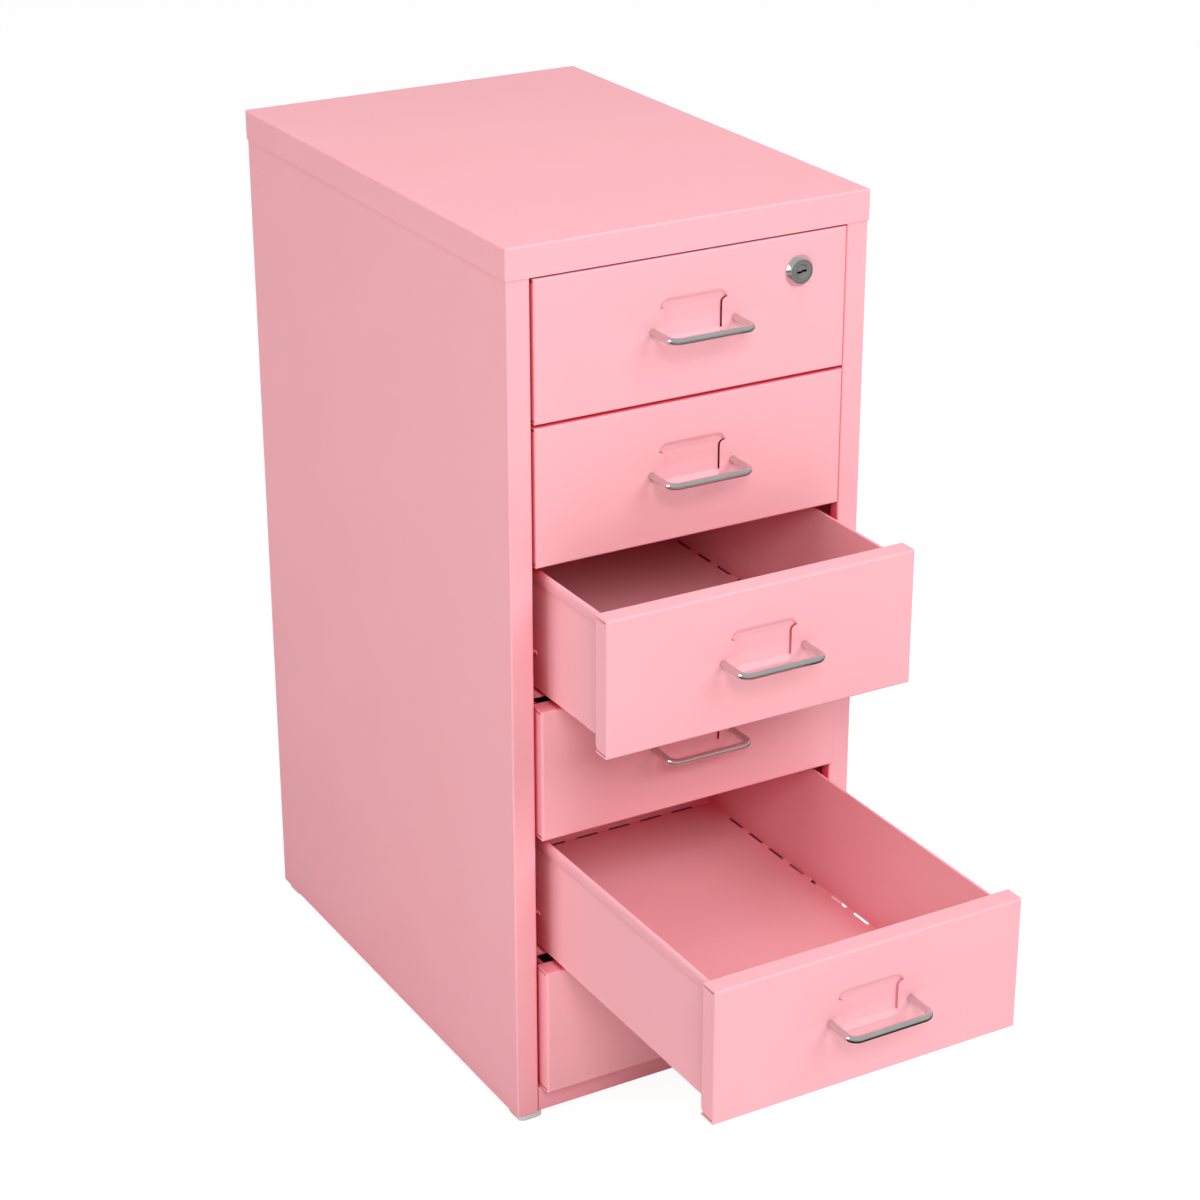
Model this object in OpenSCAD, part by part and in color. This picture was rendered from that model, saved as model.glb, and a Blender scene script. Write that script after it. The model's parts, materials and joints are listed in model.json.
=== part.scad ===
// Small sheet-metal drawer cabinet: six folded drawers sliding in channel runners,
// bent-rod handles, pressed label holders, a cam lock on the top drawer, four glides.
// X is the width, +Y runs from the front to the back, Z is up. Lengths in millimetres.

/* [Body] */
// Overall width, measured over the top cap
body_w = 280; // [240:1:420]
// Overall depth, measured over the top cap
body_d = 410; // [400:1:600]
// Height of the sheet-metal body, without the glides
body_h = 650; // [600:1:900]
// Thickness of the body sheet
sheet_t = 0.8; // [0.6:0.1:1.0]
// Outside radius of the folds in the body sheet
fold_r = 1.5; // [1.2:0.1:2.5]
// Height of the skirt of the top cap
cap_skirt = 22; // [18:1:40]
// Width of the front flange of each side panel
stile_w = 17.2; // [15:0.1:22]
// Depth of the return behind the inner edge of that flange
stile_return = 8; // [4:0.5:10]
// Height of the front rail of the base
rail_h = 20; // [16:1:40]
// Depth of the fold on top of the front rail
rail_return = 12; // [6:1:30]

/* [Drawers] */
// Thickness of the drawer sheet
tray_t = 0.7; // [0.5:0.1:0.9]
// Gap between two drawer fronts
front_gap = 2.3; // [1.5:0.1:4]
// Gap between a drawer front and the flange beside it
front_side_gap = 1.5; // [1:0.1:3]
// Depth of the folded edge round each drawer front
front_edge = 15; // [12:0.5:18]
// Rounding of the rear lower corner of each side fold of a front
front_ear_r = 4.5; // [2:0.5:6]
// How far a front stands ahead of the cap when the drawer is shut
shut_proud = 1.5; // [0.5:0.1:3]
// Gap between the rear of a shut drawer's tray and the back panel
tray_clear = 31.1; // [22:0.1:60]
// Gap beside the tray, from the inside of the front's side fold
tray_inset = 8.8; // [8:0.1:12]
// Height of the tray's floor above the lower edge of the front
tray_lift = 3; // [3:0.1:5]
// Distance from the top of the tray down from the top of the front
tray_drop = 5; // [3:0.5:12]
// Height of the hem folded outwards round the top of the tray
hem_h = 10; // [6:0.5:14]
// Space between the tray's wall and its hem
hem_space = 0.4; // [0.3:0.1:0.8]
// Width of the tray's flanges that are welded behind the front
weld_flange = 12; // [8:0.5:16]
// Length of each slot along the tray's fold lines
slot_l = 18.8; // [10:0.1:22]
// Distance from one slot to the next
slot_pitch = 28.25; // [26:0.05:40]
// Reach of a slot into the floor, from the outside of the wall
slot_reach = 2.7; // [1.8:0.1:3.5]
// Reach of a slot up the wall, from the underside of the floor
slot_rise = 0.9; // [0.8:0.1:2]

/* [Drawer positions, from shut] */
// How far the first drawer from the top is drawn out
draw_1 = 0; // [0:1:200]
// How far the second drawer is drawn out
draw_2 = 0; // [0:1:200]
// How far the third drawer is drawn out
draw_3 = 93.5; // [0:0.5:200]
// How far the fourth drawer is drawn out
draw_4 = 5.5; // [0:0.5:200]
// How far the fifth drawer is drawn out
draw_5 = 230.5; // [0:0.5:240]
// How far the sixth drawer is drawn out
draw_6 = 9.5; // [0:0.5:200]

/* [Runners] */
// Height of the channel that carries each side of a drawer
runner_h = 35.5; // [29:0.5:44]
// How far the lower flange reaches in under the tray
ledge_reach = 9; // [5:0.5:20]
// Height of the flange's turned-up edge, on which the tray slides
ledge_rise = 3.2; // [2:0.1:3.5]
// Gap between the tray's floor and that edge
ledge_gap = 0.2; // [0.1:0.05:0.4]
// Gap between the tray's side and the lip of the upper flange
lip_gap = 1.3; // [1:0.1:3]
// Height of the turned-down lip of the upper flange
lip_h = 3.3; // [2:0.1:5]
// Gap kept where one part stops against another
stop_gap = 0.3; // [0.2:0.05:1]
// Distance from the front end of a channel back to its stop tab
stop_in = 30.4; // [20:0.1:60]
// Width and height of the stop tab bent out of each channel
stop_tab = 12; // [8:0.5:14]
// Length of the guide bracket at the rear of each side of a tray
guide_l = 26; // [16:1:40]
// How far the guide bracket reaches out from the tray
guide_w = 14; // [10:0.5:18]

/* [Handles] */
// Distance between the two screws of a handle
handle_span = 64; // [48:1:96]
// Diameter of the handle's rod
rod_d = 5; // [4:0.1:8]
// Distance from the front to the outside of the handle
handle_reach = 28.5; // [22:0.5:40]
// Radius of the rod's bends, at its middle
bend_r = 7; // [5:0.5:10]
// Diameter of the handle screws
screw_d = 3; // [2.5:0.1:3.5]
// Length of the handle screws under their heads
screw_l = 9; // [6:0.5:14]

/* [Label holder] */
// Width of the label pocket between its side tabs
pocket_w = 44; // [30:0.5:54]
// Extra width of the finger notch above the tabs, on each side
notch_extra = 4.5; // [3:0.5:8]
// Height of the pocket from its ledge to the top of the tabs
pocket_h = 17.5; // [12:0.5:26]
// Height of the finger notch above the tabs
notch_h = 9; // [7:0.5:14]
// How far the pocket's floor lies behind the front
pocket_depth = 1.1; // [0.9:0.05:1.6]
// How far the pocket's floor runs in behind each side tab
tab_lap = 2.5; // [1.5:0.1:4]
// How far the raised ledge under the pocket stands proud
ledge_proud = 0.8; // [0.4:0.1:1.5]
// Height of the ledge's sloping upper side
ledge_slope = 3.8; // [2.5:0.1:5]
// Distance from the handle's middle down to the ledge's crest
ledge_drop = 5.5; // [4:0.5:10]

/* [Lock] */
// Distance from the right edge of the first front to the lock's middle
lock_side = 38; // [36:0.5:50]
// Distance from the top of the front down to the lock's middle
lock_drop = 25; // [22:0.5:40]
// Radius of the lock's collar where it meets the front
collar_r = 10.8; // [10:0.1:14]
// Radius of the collar's face
collar_face_r = 8.8; // [7.5:0.1:9.5]
// How far the collar stands out
collar_h = 3.7; // [2:0.1:6]
// Radius of the threaded barrel behind the front
barrel_r = 8; // [7:0.1:9]
// Radius of the turning plug
plug_r = 5; // [4:0.1:5.5]
// Running clearance round the plug
plug_gap = 0.05; // [0.02:0.01:0.08]
// Distance across the flats of the lock's nut
nut_flats = 22; // [20:0.5:26]
// Length of the cam from the plug's axis to its tip
cam_l = 33; // [32:0.5:38]
// Width of the cam
cam_w = 13; // [10:0.5:16]
// Thickness of the cam
cam_t = 2; // [1.5:0.1:3]

/* [Glides] */
// Height of a glide below the body
foot_h = 8; // [4:0.5:20]
// Width of a glide
foot_w = 19; // [14:0.5:26]
// Distance from the body's outside to a glide's middle
foot_inset = 12.5; // [12:0.5:30]

/* [Hidden] */
$fn = 48;
drawers = 6;
draws = [draw_1, draw_2, draw_3, draw_4, draw_5, draw_6];
sides = [-1, 1];
side_names = ["left", "right"];

// Colours of the finishes
paint = [1.0, 0.72, 0.75];
chrome = [0.83, 0.84, 0.85];
zinc = [0.66, 0.67, 0.68];
glide = [0.90, 0.90, 0.88];

// Reach of a cutting shape past the face that it cuts
over = 1;
// Overlap of two cutting shapes that meet
lap = 0.1;
// Clearance between panels of the body that slide into each other
panel_gap = 0.1;
// Inside radius of the tight folds of trays, runners, guides and the strike
fold_in_r = 0.5;
// Depth of a blind bore past the end of its screw
bore_spare = 1;
// Cross recess of a screw, as shares of its head's radius, radius and height
recess_l = 1.1;
recess_w = 0.27;
recess_deep = 0.5;

// Side panels stand inside the skirt of the cap, one sheet in from the outside
side_x = body_w / 2 - sheet_t;
stile_x = side_x - stile_w;
inner_x = side_x - sheet_t;
side_front_y = sheet_t;
side_back_y = body_d - sheet_t;
side_top = body_h - sheet_t - fold_r;
stile_rear = side_front_y + stile_return;

// Back panel lies against the inside of the side panels' rear flanges
back_y = side_back_y - sheet_t;
back_edge = 8;
runner_end_clear = 1.5;

// Base pan
rail_set_back = 0.3;
rail_y = side_front_y + rail_set_back;
rail_x = stile_x - panel_gap;
base_x = inner_x - panel_gap;
base_front_y = stile_rear + panel_gap;
base_rear_y = back_y - sheet_t - panel_gap;
base_edge_h = rail_h - sheet_t;

// Drawer fronts
pitch = (body_h - cap_skirt - rail_h) / drawers;
front_h = pitch - front_gap;
front_w = 2 * (stile_x - front_side_gap);
corner_slit = 0.6;

// Trays, in the drawer's own frame: y from the face, z from the front's lower edge
tray_x = front_w / 2 - tray_t - tray_inset;
tray_top = front_h - tray_drop;
tray_l = back_y - sheet_t + shut_proud - tray_clear;
tray_fold_r = tray_t + fold_in_r;
hem_r = tray_t + hem_space / 2;
weld_notch = 2;
slot_first = 26.2;
slot_margin = 10;
slots_side = floor((tray_l - slot_margin - slot_l / 2 - slot_first) / slot_pitch) + 1;
slots_back = floor((2 * tray_x - 2 * slot_margin - slot_l) / slot_pitch) + 1;

// Runners, in the drawer's own frame for z
runner_y0 = front_edge - shut_proud + stop_gap;
runner_y1 = back_y - sheet_t - back_edge - runner_end_clear;
stop_y = runner_y0 + stop_in;
carry_z = tray_lift - ledge_gap;
ledge_z = carry_z - ledge_rise;
ledge_x = tray_x - ledge_reach;
lip_x = tray_x + lip_gap;
runner_top = ledge_z - sheet_t + runner_h;
channel_fold_r = sheet_t + fold_in_r;

// Guide brackets ride under the lip and stop against the tab
guide_rear_margin = 6;
guide_y1 = tray_l - guide_rear_margin;
guide_y0 = guide_y1 - guide_l;
guide_play = 1.7;
guide_top = runner_top - lip_h - guide_play;
guide_low = 8;
guide_seat_low = 6;
stop_reach = 6;
stop_low = 9;
stop_window = 18;

// Handles
handle_z = front_h / 2;
rod_r = rod_d / 2;
bar_y = -(handle_reach - rod_r);
screw_gap = 0.05;
screw_head_r = 3.6;
screw_head_h = 2.2;

// Label holder: heights in the drawer's frame
crest_z = handle_z - ledge_drop;
pocket_z0 = crest_z + ledge_slope;
tab_top_z = crest_z + pocket_h;
notch_top_z = tab_top_z + notch_h;
notch_r = 4;
notch_slope = 3.5;
ledge_foot = 3;
crest_flat = 0.8;

// Lock: y from the face of the front
lock_x = front_w / 2 - lock_side;
lock_z = front_h - lock_drop;
barrel_past = 0.7;
barrel_end = front_edge + barrel_past;
collar_edge = 0.9;
groove_r = 7.4;
groove_w = 0.5;
groove_deep = 0.4;
barrel_gap = 0.1;
nut_t = 4;
cam_gap = 0.3;
cam_y0 = barrel_end + cam_gap;
cam_y1 = cam_y0 + cam_t;
cam_root_r = 8;
cam_square = 6;
cam_fit = 0.05;
key_l = 7.4;
key_w = 1.5;
key_step = 0.7;
key_deep = 11;
key_dish_r = 4.4;
key_dish_deep = 0.35;
cam_screw_head_r = 4.2;
cam_screw_head_h = 2.4;
cam_screw_r = 2;
cam_screw_l = 7;

// Strike under the cap, in front of the raised cam
strike_w = 26;
strike_gap = 1;
strike_clear = 1.5;
strike_foot = 18;
strike_t = 1.2;
strike_y1 = cam_y0 - shut_proud - strike_gap;

// Body screws on the back: [x, z] of each, through the flanges behind it
body_screw_r = 2;
body_screw_gap = 0.1;
body_screw_l = 8;
body_head_r = 3.6;
body_head_h = 1.8;
flange_mid_x = side_x - stile_w / 2;
cap_screw_z = body_h - cap_skirt / 2;
low_screw_z = 3 * rail_h;
mid_screw_z = (cap_screw_z + low_screw_z) / 2;
base_screw_x = body_w / 4;
base_screw_z = rail_h / 2;

// Glides
foot_x = side_x - foot_inset;
foot_ys = [side_front_y + foot_inset, side_back_y - foot_inset];
foot_chamfer = 2;
foot_round = 3.5;
foot_stem_r = 4;
foot_stem_gap = 0.1;
foot_snap_r = 5.4;
foot_snap_h = 2;

// The origin lies on the floor, under the middle of the cabinet as it stands
front_reach = max(draws) + shut_proud + handle_reach;
origin_y = (body_d + body_head_h - front_reach) / 2;

// Level of a drawer front's lower edge, counted from the top
function front_z(i) = rail_h + front_gap / 2 + (drawers - i) * pitch;

// ---------- helpers ----------

// Moves the cabinet so that the origin is on the floor at the middle of its outline
module placed() {
    translate([0, -origin_y, foot_h]) children();
}

// Moves a piece from drawer i's own frame to where that drawer stands
module in_drawer(i) {
    placed() translate([0, -shut_proud - draws[i - 1], front_z(i)]) children();
}

// Carries an outline drawn in x and z along y
module along_y(y0, y1) {
    translate([0, y1, 0]) rotate([90, 0, 0]) linear_extrude(y1 - y0) children();
}

// Carries an outline drawn in y and z along x
module along_x(x0, x1) {
    translate([x0, 0, 0]) rotate([90, 0, 90]) linear_extrude(x1 - x0) children();
}

// A block between two corners
module block(a, b) {
    translate(a) cube(b - a);
}

// Mirrors what is drawn for the right side when s is -1
module on_side(s) {
    mirror([s < 0 ? 1 : 0, 0, 0]) children();
}

// A rod along y from y0 to y1, at [x, z]
module rod_y(at, r, y0, y1) {
    translate([at[0], y1, at[1]]) rotate([90, 0, 0]) cylinder(r = r, h = y1 - y0);
}

// A w by d rectangle at the origin; corners 0 to 3, counted round from it, are rounded by r
module corner_rect(w, d, r, corners) {
    places = [[0, 0], [w, 0], [w, d], [0, d]];
    difference() {
        square([w, d]);
        for (k = corners)
            translate(places[k]) rotate(90 * k) difference() {
                translate([-over, -over]) square(r + over);
                translate([r, r]) circle(r);
            }
    }
}

// A pan head with a cross recess on a shank along +y; the head's seat is at y = 0
module cross_screw(head_r, head_h, shank_r, shank_l) {
    half_l = recess_l * head_r / 2;
    half_w = recess_w * head_r / 2;
    difference() {
        union() {
            rod_y([0, 0], head_r, -head_h, 0);
            rod_y([0, 0], shank_r, -head_h / 2, shank_l);
        }
        for (a = [0, 90])
            rotate([0, a, 0])
                block([-half_l, -head_h - over, -half_w],
                      [half_l, -(1 - recess_deep) * head_h, half_w]);
    }
}

// ---------- body ----------

// Outer or inner volume of the cap: a box with rounded top and corner folds
module cap_volume(in, r) {
    w = body_w - 2 * in;
    d = body_d - 2 * in;
    intersection() {
        along_y(in, body_d - in)
            translate([-w / 2, 0]) corner_rect(w, body_h - in, r, [2, 3]);
        along_x(-w / 2, w / 2)
            translate([in, 0]) corner_rect(d, body_h - in, r, [2, 3]);
        linear_extrude(body_h)
            translate([-w / 2, in]) corner_rect(w, d, r, [0, 1, 2, 3]);
    }
}

module top_cap() {
    color(paint) placed() difference() {
        cap_volume(0, fold_r);
        cap_volume(sheet_t, fold_r - sheet_t);
        block([-body_w, -over, -over], [body_w, body_d + over, body_h - cap_skirt]);
        for (s = sides)
            rod_y([s * flange_mid_x, cap_screw_z], body_screw_r + body_screw_gap,
                  back_y, body_d + over);
    }
}

// Plan of the right side panel: web, front flange with its return, rear flange
module side_plan() {
    depth = side_back_y - side_front_y;
    difference() {
        translate([stile_x, side_front_y]) corner_rect(stile_w, depth, fold_r, [0, 1, 2]);
        translate([stile_x + sheet_t, side_front_y + sheet_t])
            corner_rect(stile_w - 2 * sheet_t, depth - 2 * sheet_t, fold_r - sheet_t, [0, 1, 2]);
        translate([stile_x - over, stile_rear])
            square([sheet_t + 2 * over, depth - stile_return - sheet_t]);
    }
}

module side_panel(s) {
    on_side(s) difference() {
        linear_extrude(side_top) side_plan();
        for (z = [cap_screw_z, mid_screw_z, low_screw_z])
            rod_y([flange_mid_x, z], body_screw_r + body_screw_gap, back_y, body_d);
    }
}

module side_panel_left() {
    color(paint) placed() side_panel(-1);
}

module side_panel_right() {
    color(paint) placed() side_panel(1);
}

// Back panel: a sheet with a fold forward along each upright edge, above the base's own folds
module back_panel() {
    back_x = inner_x - panel_gap;
    color(paint) placed() difference() {
        union() {
            block([-back_x + fold_r, back_y - sheet_t, sheet_t + panel_gap],
                  [back_x - fold_r, back_y, side_top]);
            for (s = sides)
                on_side(s) translate([0, 0, rail_h])
                    linear_extrude(side_top - rail_h) back_fold_plan(back_x);
        }
        for (s = sides, z = [cap_screw_z, mid_screw_z, low_screw_z])
            rod_y([s * flange_mid_x, z], body_screw_r + body_screw_gap, 0, body_d);
        for (s = sides)
            rod_y([s * base_screw_x, base_screw_z], body_screw_r + body_screw_gap, 0, body_d);
    }
}

// Plan of the back panel's right edge, folded forward
module back_fold_plan(back_x) {
    w = 2 * fold_r;
    d = back_edge + sheet_t;
    translate([back_x - w, back_y - d]) difference() {
        corner_rect(w, d, fold_r, [2]);
        translate([-over, -over]) corner_rect(w - sheet_t + over, d - sheet_t + over,
                                              fold_r - sheet_t, [2]);
    }
}

// Base: a pan with a front rail folded up between the side panels' front flanges
module base_pan() {
    color(paint) placed() difference() {
        union() {
            block([-base_x, base_front_y, 0], [base_x, base_rear_y, sheet_t]);
            block([-rail_x, rail_y + fold_r, 0], [rail_x, base_front_y + over, sheet_t]);
            along_x(-rail_x, rail_x) rail_section();
            for (s = sides)
                on_side(s)
                    block([base_x - sheet_t, base_front_y, 0],
                          [base_x, base_rear_y, base_edge_h]);
            block([-base_x + panel_gap, base_rear_y - sheet_t, 0],
                  [base_x - panel_gap, base_rear_y, base_edge_h]);
        }
        for (s = sides, y = foot_ys)
            translate([s * foot_x, y, -over])
                cylinder(r = foot_stem_r + foot_stem_gap, h = sheet_t + 2 * over);
        for (s = sides)
            rod_y([s * base_screw_x, base_screw_z], body_screw_r + body_screw_gap,
                  base_rear_y - 2 * over, back_y);
    }
}

// Section of the front rail in y and z: folded up from the floor and back at the top
module rail_section() {
    d = rail_return;
    translate([rail_y, 0]) difference() {
        corner_rect(d, rail_h, fold_r, [0, 3]);
        translate([sheet_t, sheet_t])
            corner_rect(d, rail_h - 2 * sheet_t, fold_r - sheet_t, [0, 3]);
        translate([base_front_y - rail_y + 2 * over, -over]) square([d, sheet_t + 2 * over]);
    }
}

// Striker plate welded under the cap; the lock's cam turns up behind it
module lock_strike() {
    z1 = body_h - sheet_t;
    z0 = body_h - cap_skirt + strike_clear;
    x0 = lock_x - strike_w / 2;
    color(paint) placed() along_x(x0, x0 + strike_w)
        translate([strike_y1 - strike_t, z0]) difference() {
            corner_rect(strike_foot, z1 - z0, strike_t + fold_in_r, [3]);
            translate([strike_t, -over])
                corner_rect(strike_foot, z1 - z0 - strike_t + over, fold_in_r, [3]);
        }
}

module body_screw() {
    cross_screw(body_head_r, body_head_h, body_screw_r, body_screw_l);
}

// Screws that hold the body together, all driven from behind
module carcass_screws() {
    color(zinc) placed() {
        for (s = sides) {
            translate([s * flange_mid_x, body_d, cap_screw_z]) rotate([0, 0, 180]) body_screw();
            for (z = [mid_screw_z, low_screw_z])
                translate([s * flange_mid_x, side_back_y, z]) rotate([0, 0, 180]) body_screw();
            translate([s * base_screw_x, back_y, base_screw_z]) rotate([0, 0, 180]) body_screw();
        }
    }
}

// Glide: a pad with a chamfered sole, and a stem that snaps into the base
module glide_foot(s, y) {
    half = foot_w / 2;
    color(glide) placed() translate([s * foot_x, y, 0]) {
        difference() {
            translate([-half, -half, -foot_h]) linear_extrude(foot_h)
                corner_rect(foot_w, foot_w, foot_round, [0, 1, 2, 3]);
            for (a = [0:90:270])
                rotate([0, 0, a]) along_x(-foot_w, foot_w)
                    polygon([[-half - over, -foot_h - over],
                             [-half + foot_chamfer + over, -foot_h - over],
                             [-half - over, -foot_h + foot_chamfer + over]]);
        }
        cylinder(r = foot_stem_r, h = sheet_t + panel_gap + foot_snap_h);
        translate([0, 0, sheet_t + panel_gap]) cylinder(r = foot_snap_r, h = foot_snap_h);
    }
}

module foot_front_left() {
    glide_foot(-1, foot_ys[0]);
}

module foot_front_right() {
    glide_foot(1, foot_ys[0]);
}

module foot_rear_left() {
    glide_foot(-1, foot_ys[1]);
}

module foot_rear_right() {
    glide_foot(1, foot_ys[1]);
}

// ---------- runners ----------

// Section of the right runner in x and z: web, lower flange with a turned-up edge that carries
// the tray, upper flange with a lip
module runner_section() {
    w = inner_x - ledge_x;
    difference() {
        translate([ledge_x, ledge_z - sheet_t])
            corner_rect(w, runner_h, channel_fold_r, [0, 1, 2]);
        translate([ledge_x + sheet_t, ledge_z])
            corner_rect(w - 2 * sheet_t, runner_h - 2 * sheet_t, channel_fold_r - sheet_t,
                        [0, 1, 2]);
        translate([ledge_x - over, carry_z]) square([sheet_t + 2 * over, runner_h]);
        translate([ledge_x - over, runner_top - sheet_t - over])
            square([lip_x + channel_fold_r - ledge_x + over, sheet_t + 2 * over]);
    }
    lip_w = 2 * channel_fold_r;
    translate([lip_x, runner_top - lip_h]) difference() {
        corner_rect(lip_w, lip_h, channel_fold_r, [3]);
        translate([sheet_t, -over])
            corner_rect(lip_w, lip_h - sheet_t + over, channel_fold_r - sheet_t, [3]);
    }
}

// Runner on side s for drawer i, with the stop tab lanced out of its web
module runner(s, i) {
    tab_z0 = stop_low;
    tab_z1 = stop_low + stop_tab;
    color(paint) placed() translate([0, 0, front_z(i)]) on_side(s) {
        difference() {
            along_y(runner_y0, runner_y1) runner_section();
            block([inner_x - sheet_t - over, stop_y, tab_z0],
                  [inner_x + over, stop_y + stop_window, tab_z1]);
        }
        block([tray_x + guide_w - stop_reach, stop_y - sheet_t, tab_z0],
              [inner_x - sheet_t / 2, stop_y, tab_z1]);
    }
}

// ---------- drawers ----------

// Volume of a tray up to the roll of its hem, or, in by one sheet, the space inside it
module tray_volume(in, r, rise) {
    w = 2 * (tray_x - in);
    y0 = tray_t + in;
    y1 = tray_l - in;
    h = tray_top - tray_lift - hem_r - in + rise;
    translate([0, 0, tray_lift + in]) intersection() {
        along_y(y0, y1) translate([-w / 2, 0]) corner_rect(w, h, r, [0, 1]);
        along_x(-w / 2, w / 2) translate([y0, 0]) corner_rect(y1 - y0, h, r, [1]);
    }
}

// Section of a wall's top with its hem rolled over outside; the wall's outer face is at 0
module hem_section() {
    translate([hem_space / 2, tray_top - hem_r]) difference() {
        union() {
            circle(hem_r);
            translate([-hem_r, hem_r - hem_h]) square([2 * hem_r, hem_h - hem_r]);
        }
        circle(hem_space / 2);
        translate([-hem_space / 2, hem_r - hem_h - over])
            square([hem_space, hem_h - hem_r + over]);
    }
}

// Slots along the fold lines of the tray's floor
module fold_slots() {
    z0 = tray_lift - over;
    z1 = tray_lift + slot_rise;
    for (s = sides, k = [0:slots_side - 1]) {
        y = slot_first + k * slot_pitch;
        on_side(s) block([tray_x - slot_reach, y - slot_l / 2, z0],
                         [tray_x + over, y + slot_l / 2, z1]);
    }
    for (k = [0:slots_back - 1]) {
        x = (k - (slots_back - 1) / 2) * slot_pitch;
        block([x - slot_l / 2, tray_l - slot_reach, z0], [x + slot_l / 2, tray_l + over, z1]);
    }
}

// Tray: floor, sides and back from one slotted sheet, welded by narrow flanges to the front
module tray(i) {
    window_x = tray_x - weld_flange;
    window_z = tray_lift + weld_flange;
    color(paint) in_drawer(i) {
        difference() {
            tray_volume(0, tray_fold_r, 0);
            tray_volume(tray_t, tray_fold_r - tray_t, over);
            block([-window_x, 0, window_z], [window_x, 2 * tray_t + lap, tray_top + over]);
            for (s = sides)
                translate([s * tray_x, 0, tray_lift])
                    cube(2 * (weld_notch + tray_t), center = true);
            fold_slots();
        }
        for (s = sides)
            along_y(tray_t + weld_notch, tray_l - weld_notch)
                translate([s * tray_x, 0]) on_side(s) hem_section();
        along_x(-tray_x + weld_notch, tray_x - weld_notch)
            translate([tray_l, 0]) hem_section();
    }
}

// Volume of a drawer front, in by one sheet or not
module front_volume(in, r) {
    w = front_w - 2 * in;
    h = front_h - 2 * in;
    translate([-w / 2, 0, in]) intersection() {
        linear_extrude(h) translate([0, in]) corner_rect(w, front_edge + over, r, [0, 1]);
        along_x(0, w) translate([in, 0]) corner_rect(front_edge + over, h, r, [0, 3]);
    }
}

// Outline of the opening pressed back for the label, in x and z
module pocket_outline() {
    half = pocket_w / 2;
    wide = half + notch_extra;
    translate([-wide, tab_top_z]) corner_rect(2 * wide, notch_h, notch_r, [2, 3]);
    polygon([[-half, tab_top_z - notch_slope], [half, tab_top_z - notch_slope],
             [wide, tab_top_z], [wide, tab_top_z + lap],
             [-wide, tab_top_z + lap], [-wide, tab_top_z]]);
    translate([-half, crest_z - ledge_foot]) square([pocket_w, tab_top_z - crest_z]);
}

// Outline of the pocket's floor: it laps behind the side tabs and closes round the notch
module pocket_floor_outline(rim) {
    half = pocket_w / 2 + tab_lap;
    wide = pocket_w / 2 + notch_extra + rim;
    translate([-wide, tab_top_z - rim])
        corner_rect(2 * wide, notch_h + 2 * rim, notch_r + rim, [2, 3]);
    translate([-half, pocket_z0 - over]) square([2 * half, tab_top_z - pocket_z0 + over]);
}

// Section of the ledge under the pocket in y and z, from the floor out to the crest and back
module ledge_section() {
    z1 = pocket_z0;
    z2 = crest_z;
    z3 = crest_z - ledge_foot;
    floor_y = pocket_depth;
    polygon([[floor_y, z1], [-ledge_proud, z2], [-ledge_proud, z2 - crest_flat], [0, z3],
             [tray_t, z3], [tray_t - ledge_proud, z2 - crest_flat], [tray_t - ledge_proud, z2],
             [floor_y + tray_t, z1 - tray_t / 2], [floor_y + tray_t, z1]]);
}

// Front: a pan with a folded edge, the pressed label holder and the holes for the handle
module front(i, has_lock) {
    ear = front_ear_r;
    side_in = front_w / 2 - tray_t - lap;
    color(paint) in_drawer(i) {
        difference() {
            union() {
                difference() {
                    front_volume(0, fold_r);
                    front_volume(tray_t, fold_r - tray_t);
                    along_y(-over, tray_t + lap) pocket_outline();
                }
                difference() {
                    along_y(tray_t, pocket_depth + tray_t) pocket_floor_outline(tray_t);
                    along_y(0, pocket_depth) pocket_outline();
                    along_y(tray_t, pocket_depth)
                        translate([-pocket_w, pocket_z0])
                            square([2 * pocket_w, tab_top_z - notch_slope - pocket_z0]);
                }
                along_x(-pocket_w / 2, pocket_w / 2) ledge_section();
            }
            block([-front_w, front_edge, -over], [front_w, front_edge + 2 * over, front_h + over]);
            for (s = sides) {
                on_side(s) {
                    for (z = [front_h - fold_r - corner_slit, fold_r])
                        block([side_in, fold_r + tray_t, z],
                              [front_w, front_edge + over, z + corner_slit]);
                    along_x(side_in, front_w)
                        translate([front_edge - ear, fold_r + corner_slit]) difference() {
                            translate([0, -corner_slit]) square([ear + over, ear + corner_slit]);
                            translate([0, ear]) circle(ear);
                        }
                }
                rod_y([s * handle_span / 2, handle_z], screw_d / 2 + screw_gap, -over, tray_t + over);
            }
            if (has_lock)
                rod_y([lock_x, lock_z], barrel_r + barrel_gap, -over, tray_t + over);
        }
    }
}

// Handle: a round rod bent twice, its ends bored for the screws
module handle(i) {
    half = handle_span / 2;
    color(chrome) in_drawer(i) translate([0, 0, handle_z]) difference() {
        union() {
            for (s = sides) {
                rod_y([s * half, 0], rod_r, bar_y + bend_r, 0);
                translate([s * (half - bend_r), bar_y + bend_r, 0])
                    on_side(s) rotate([0, 0, -90])
                        rotate_extrude(angle = 90) translate([bend_r, 0]) circle(rod_r);
            }
            translate([-half + bend_r, bar_y, 0]) rotate([0, 90, 0])
                cylinder(r = rod_r, h = handle_span - 2 * bend_r);
        }
        for (s = sides)
            rod_y([s * half, 0], screw_d / 2 + screw_gap, -screw_l, over);
    }
}

// The two screws that hold a handle, driven from inside the drawer
module handle_screws(i) {
    color(zinc) in_drawer(i)
        for (s = sides)
            translate([s * handle_span / 2, tray_t, handle_z]) rotate([0, 0, 180])
                cross_screw(screw_head_r, screw_head_h, screw_d / 2, screw_l);
}

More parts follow.
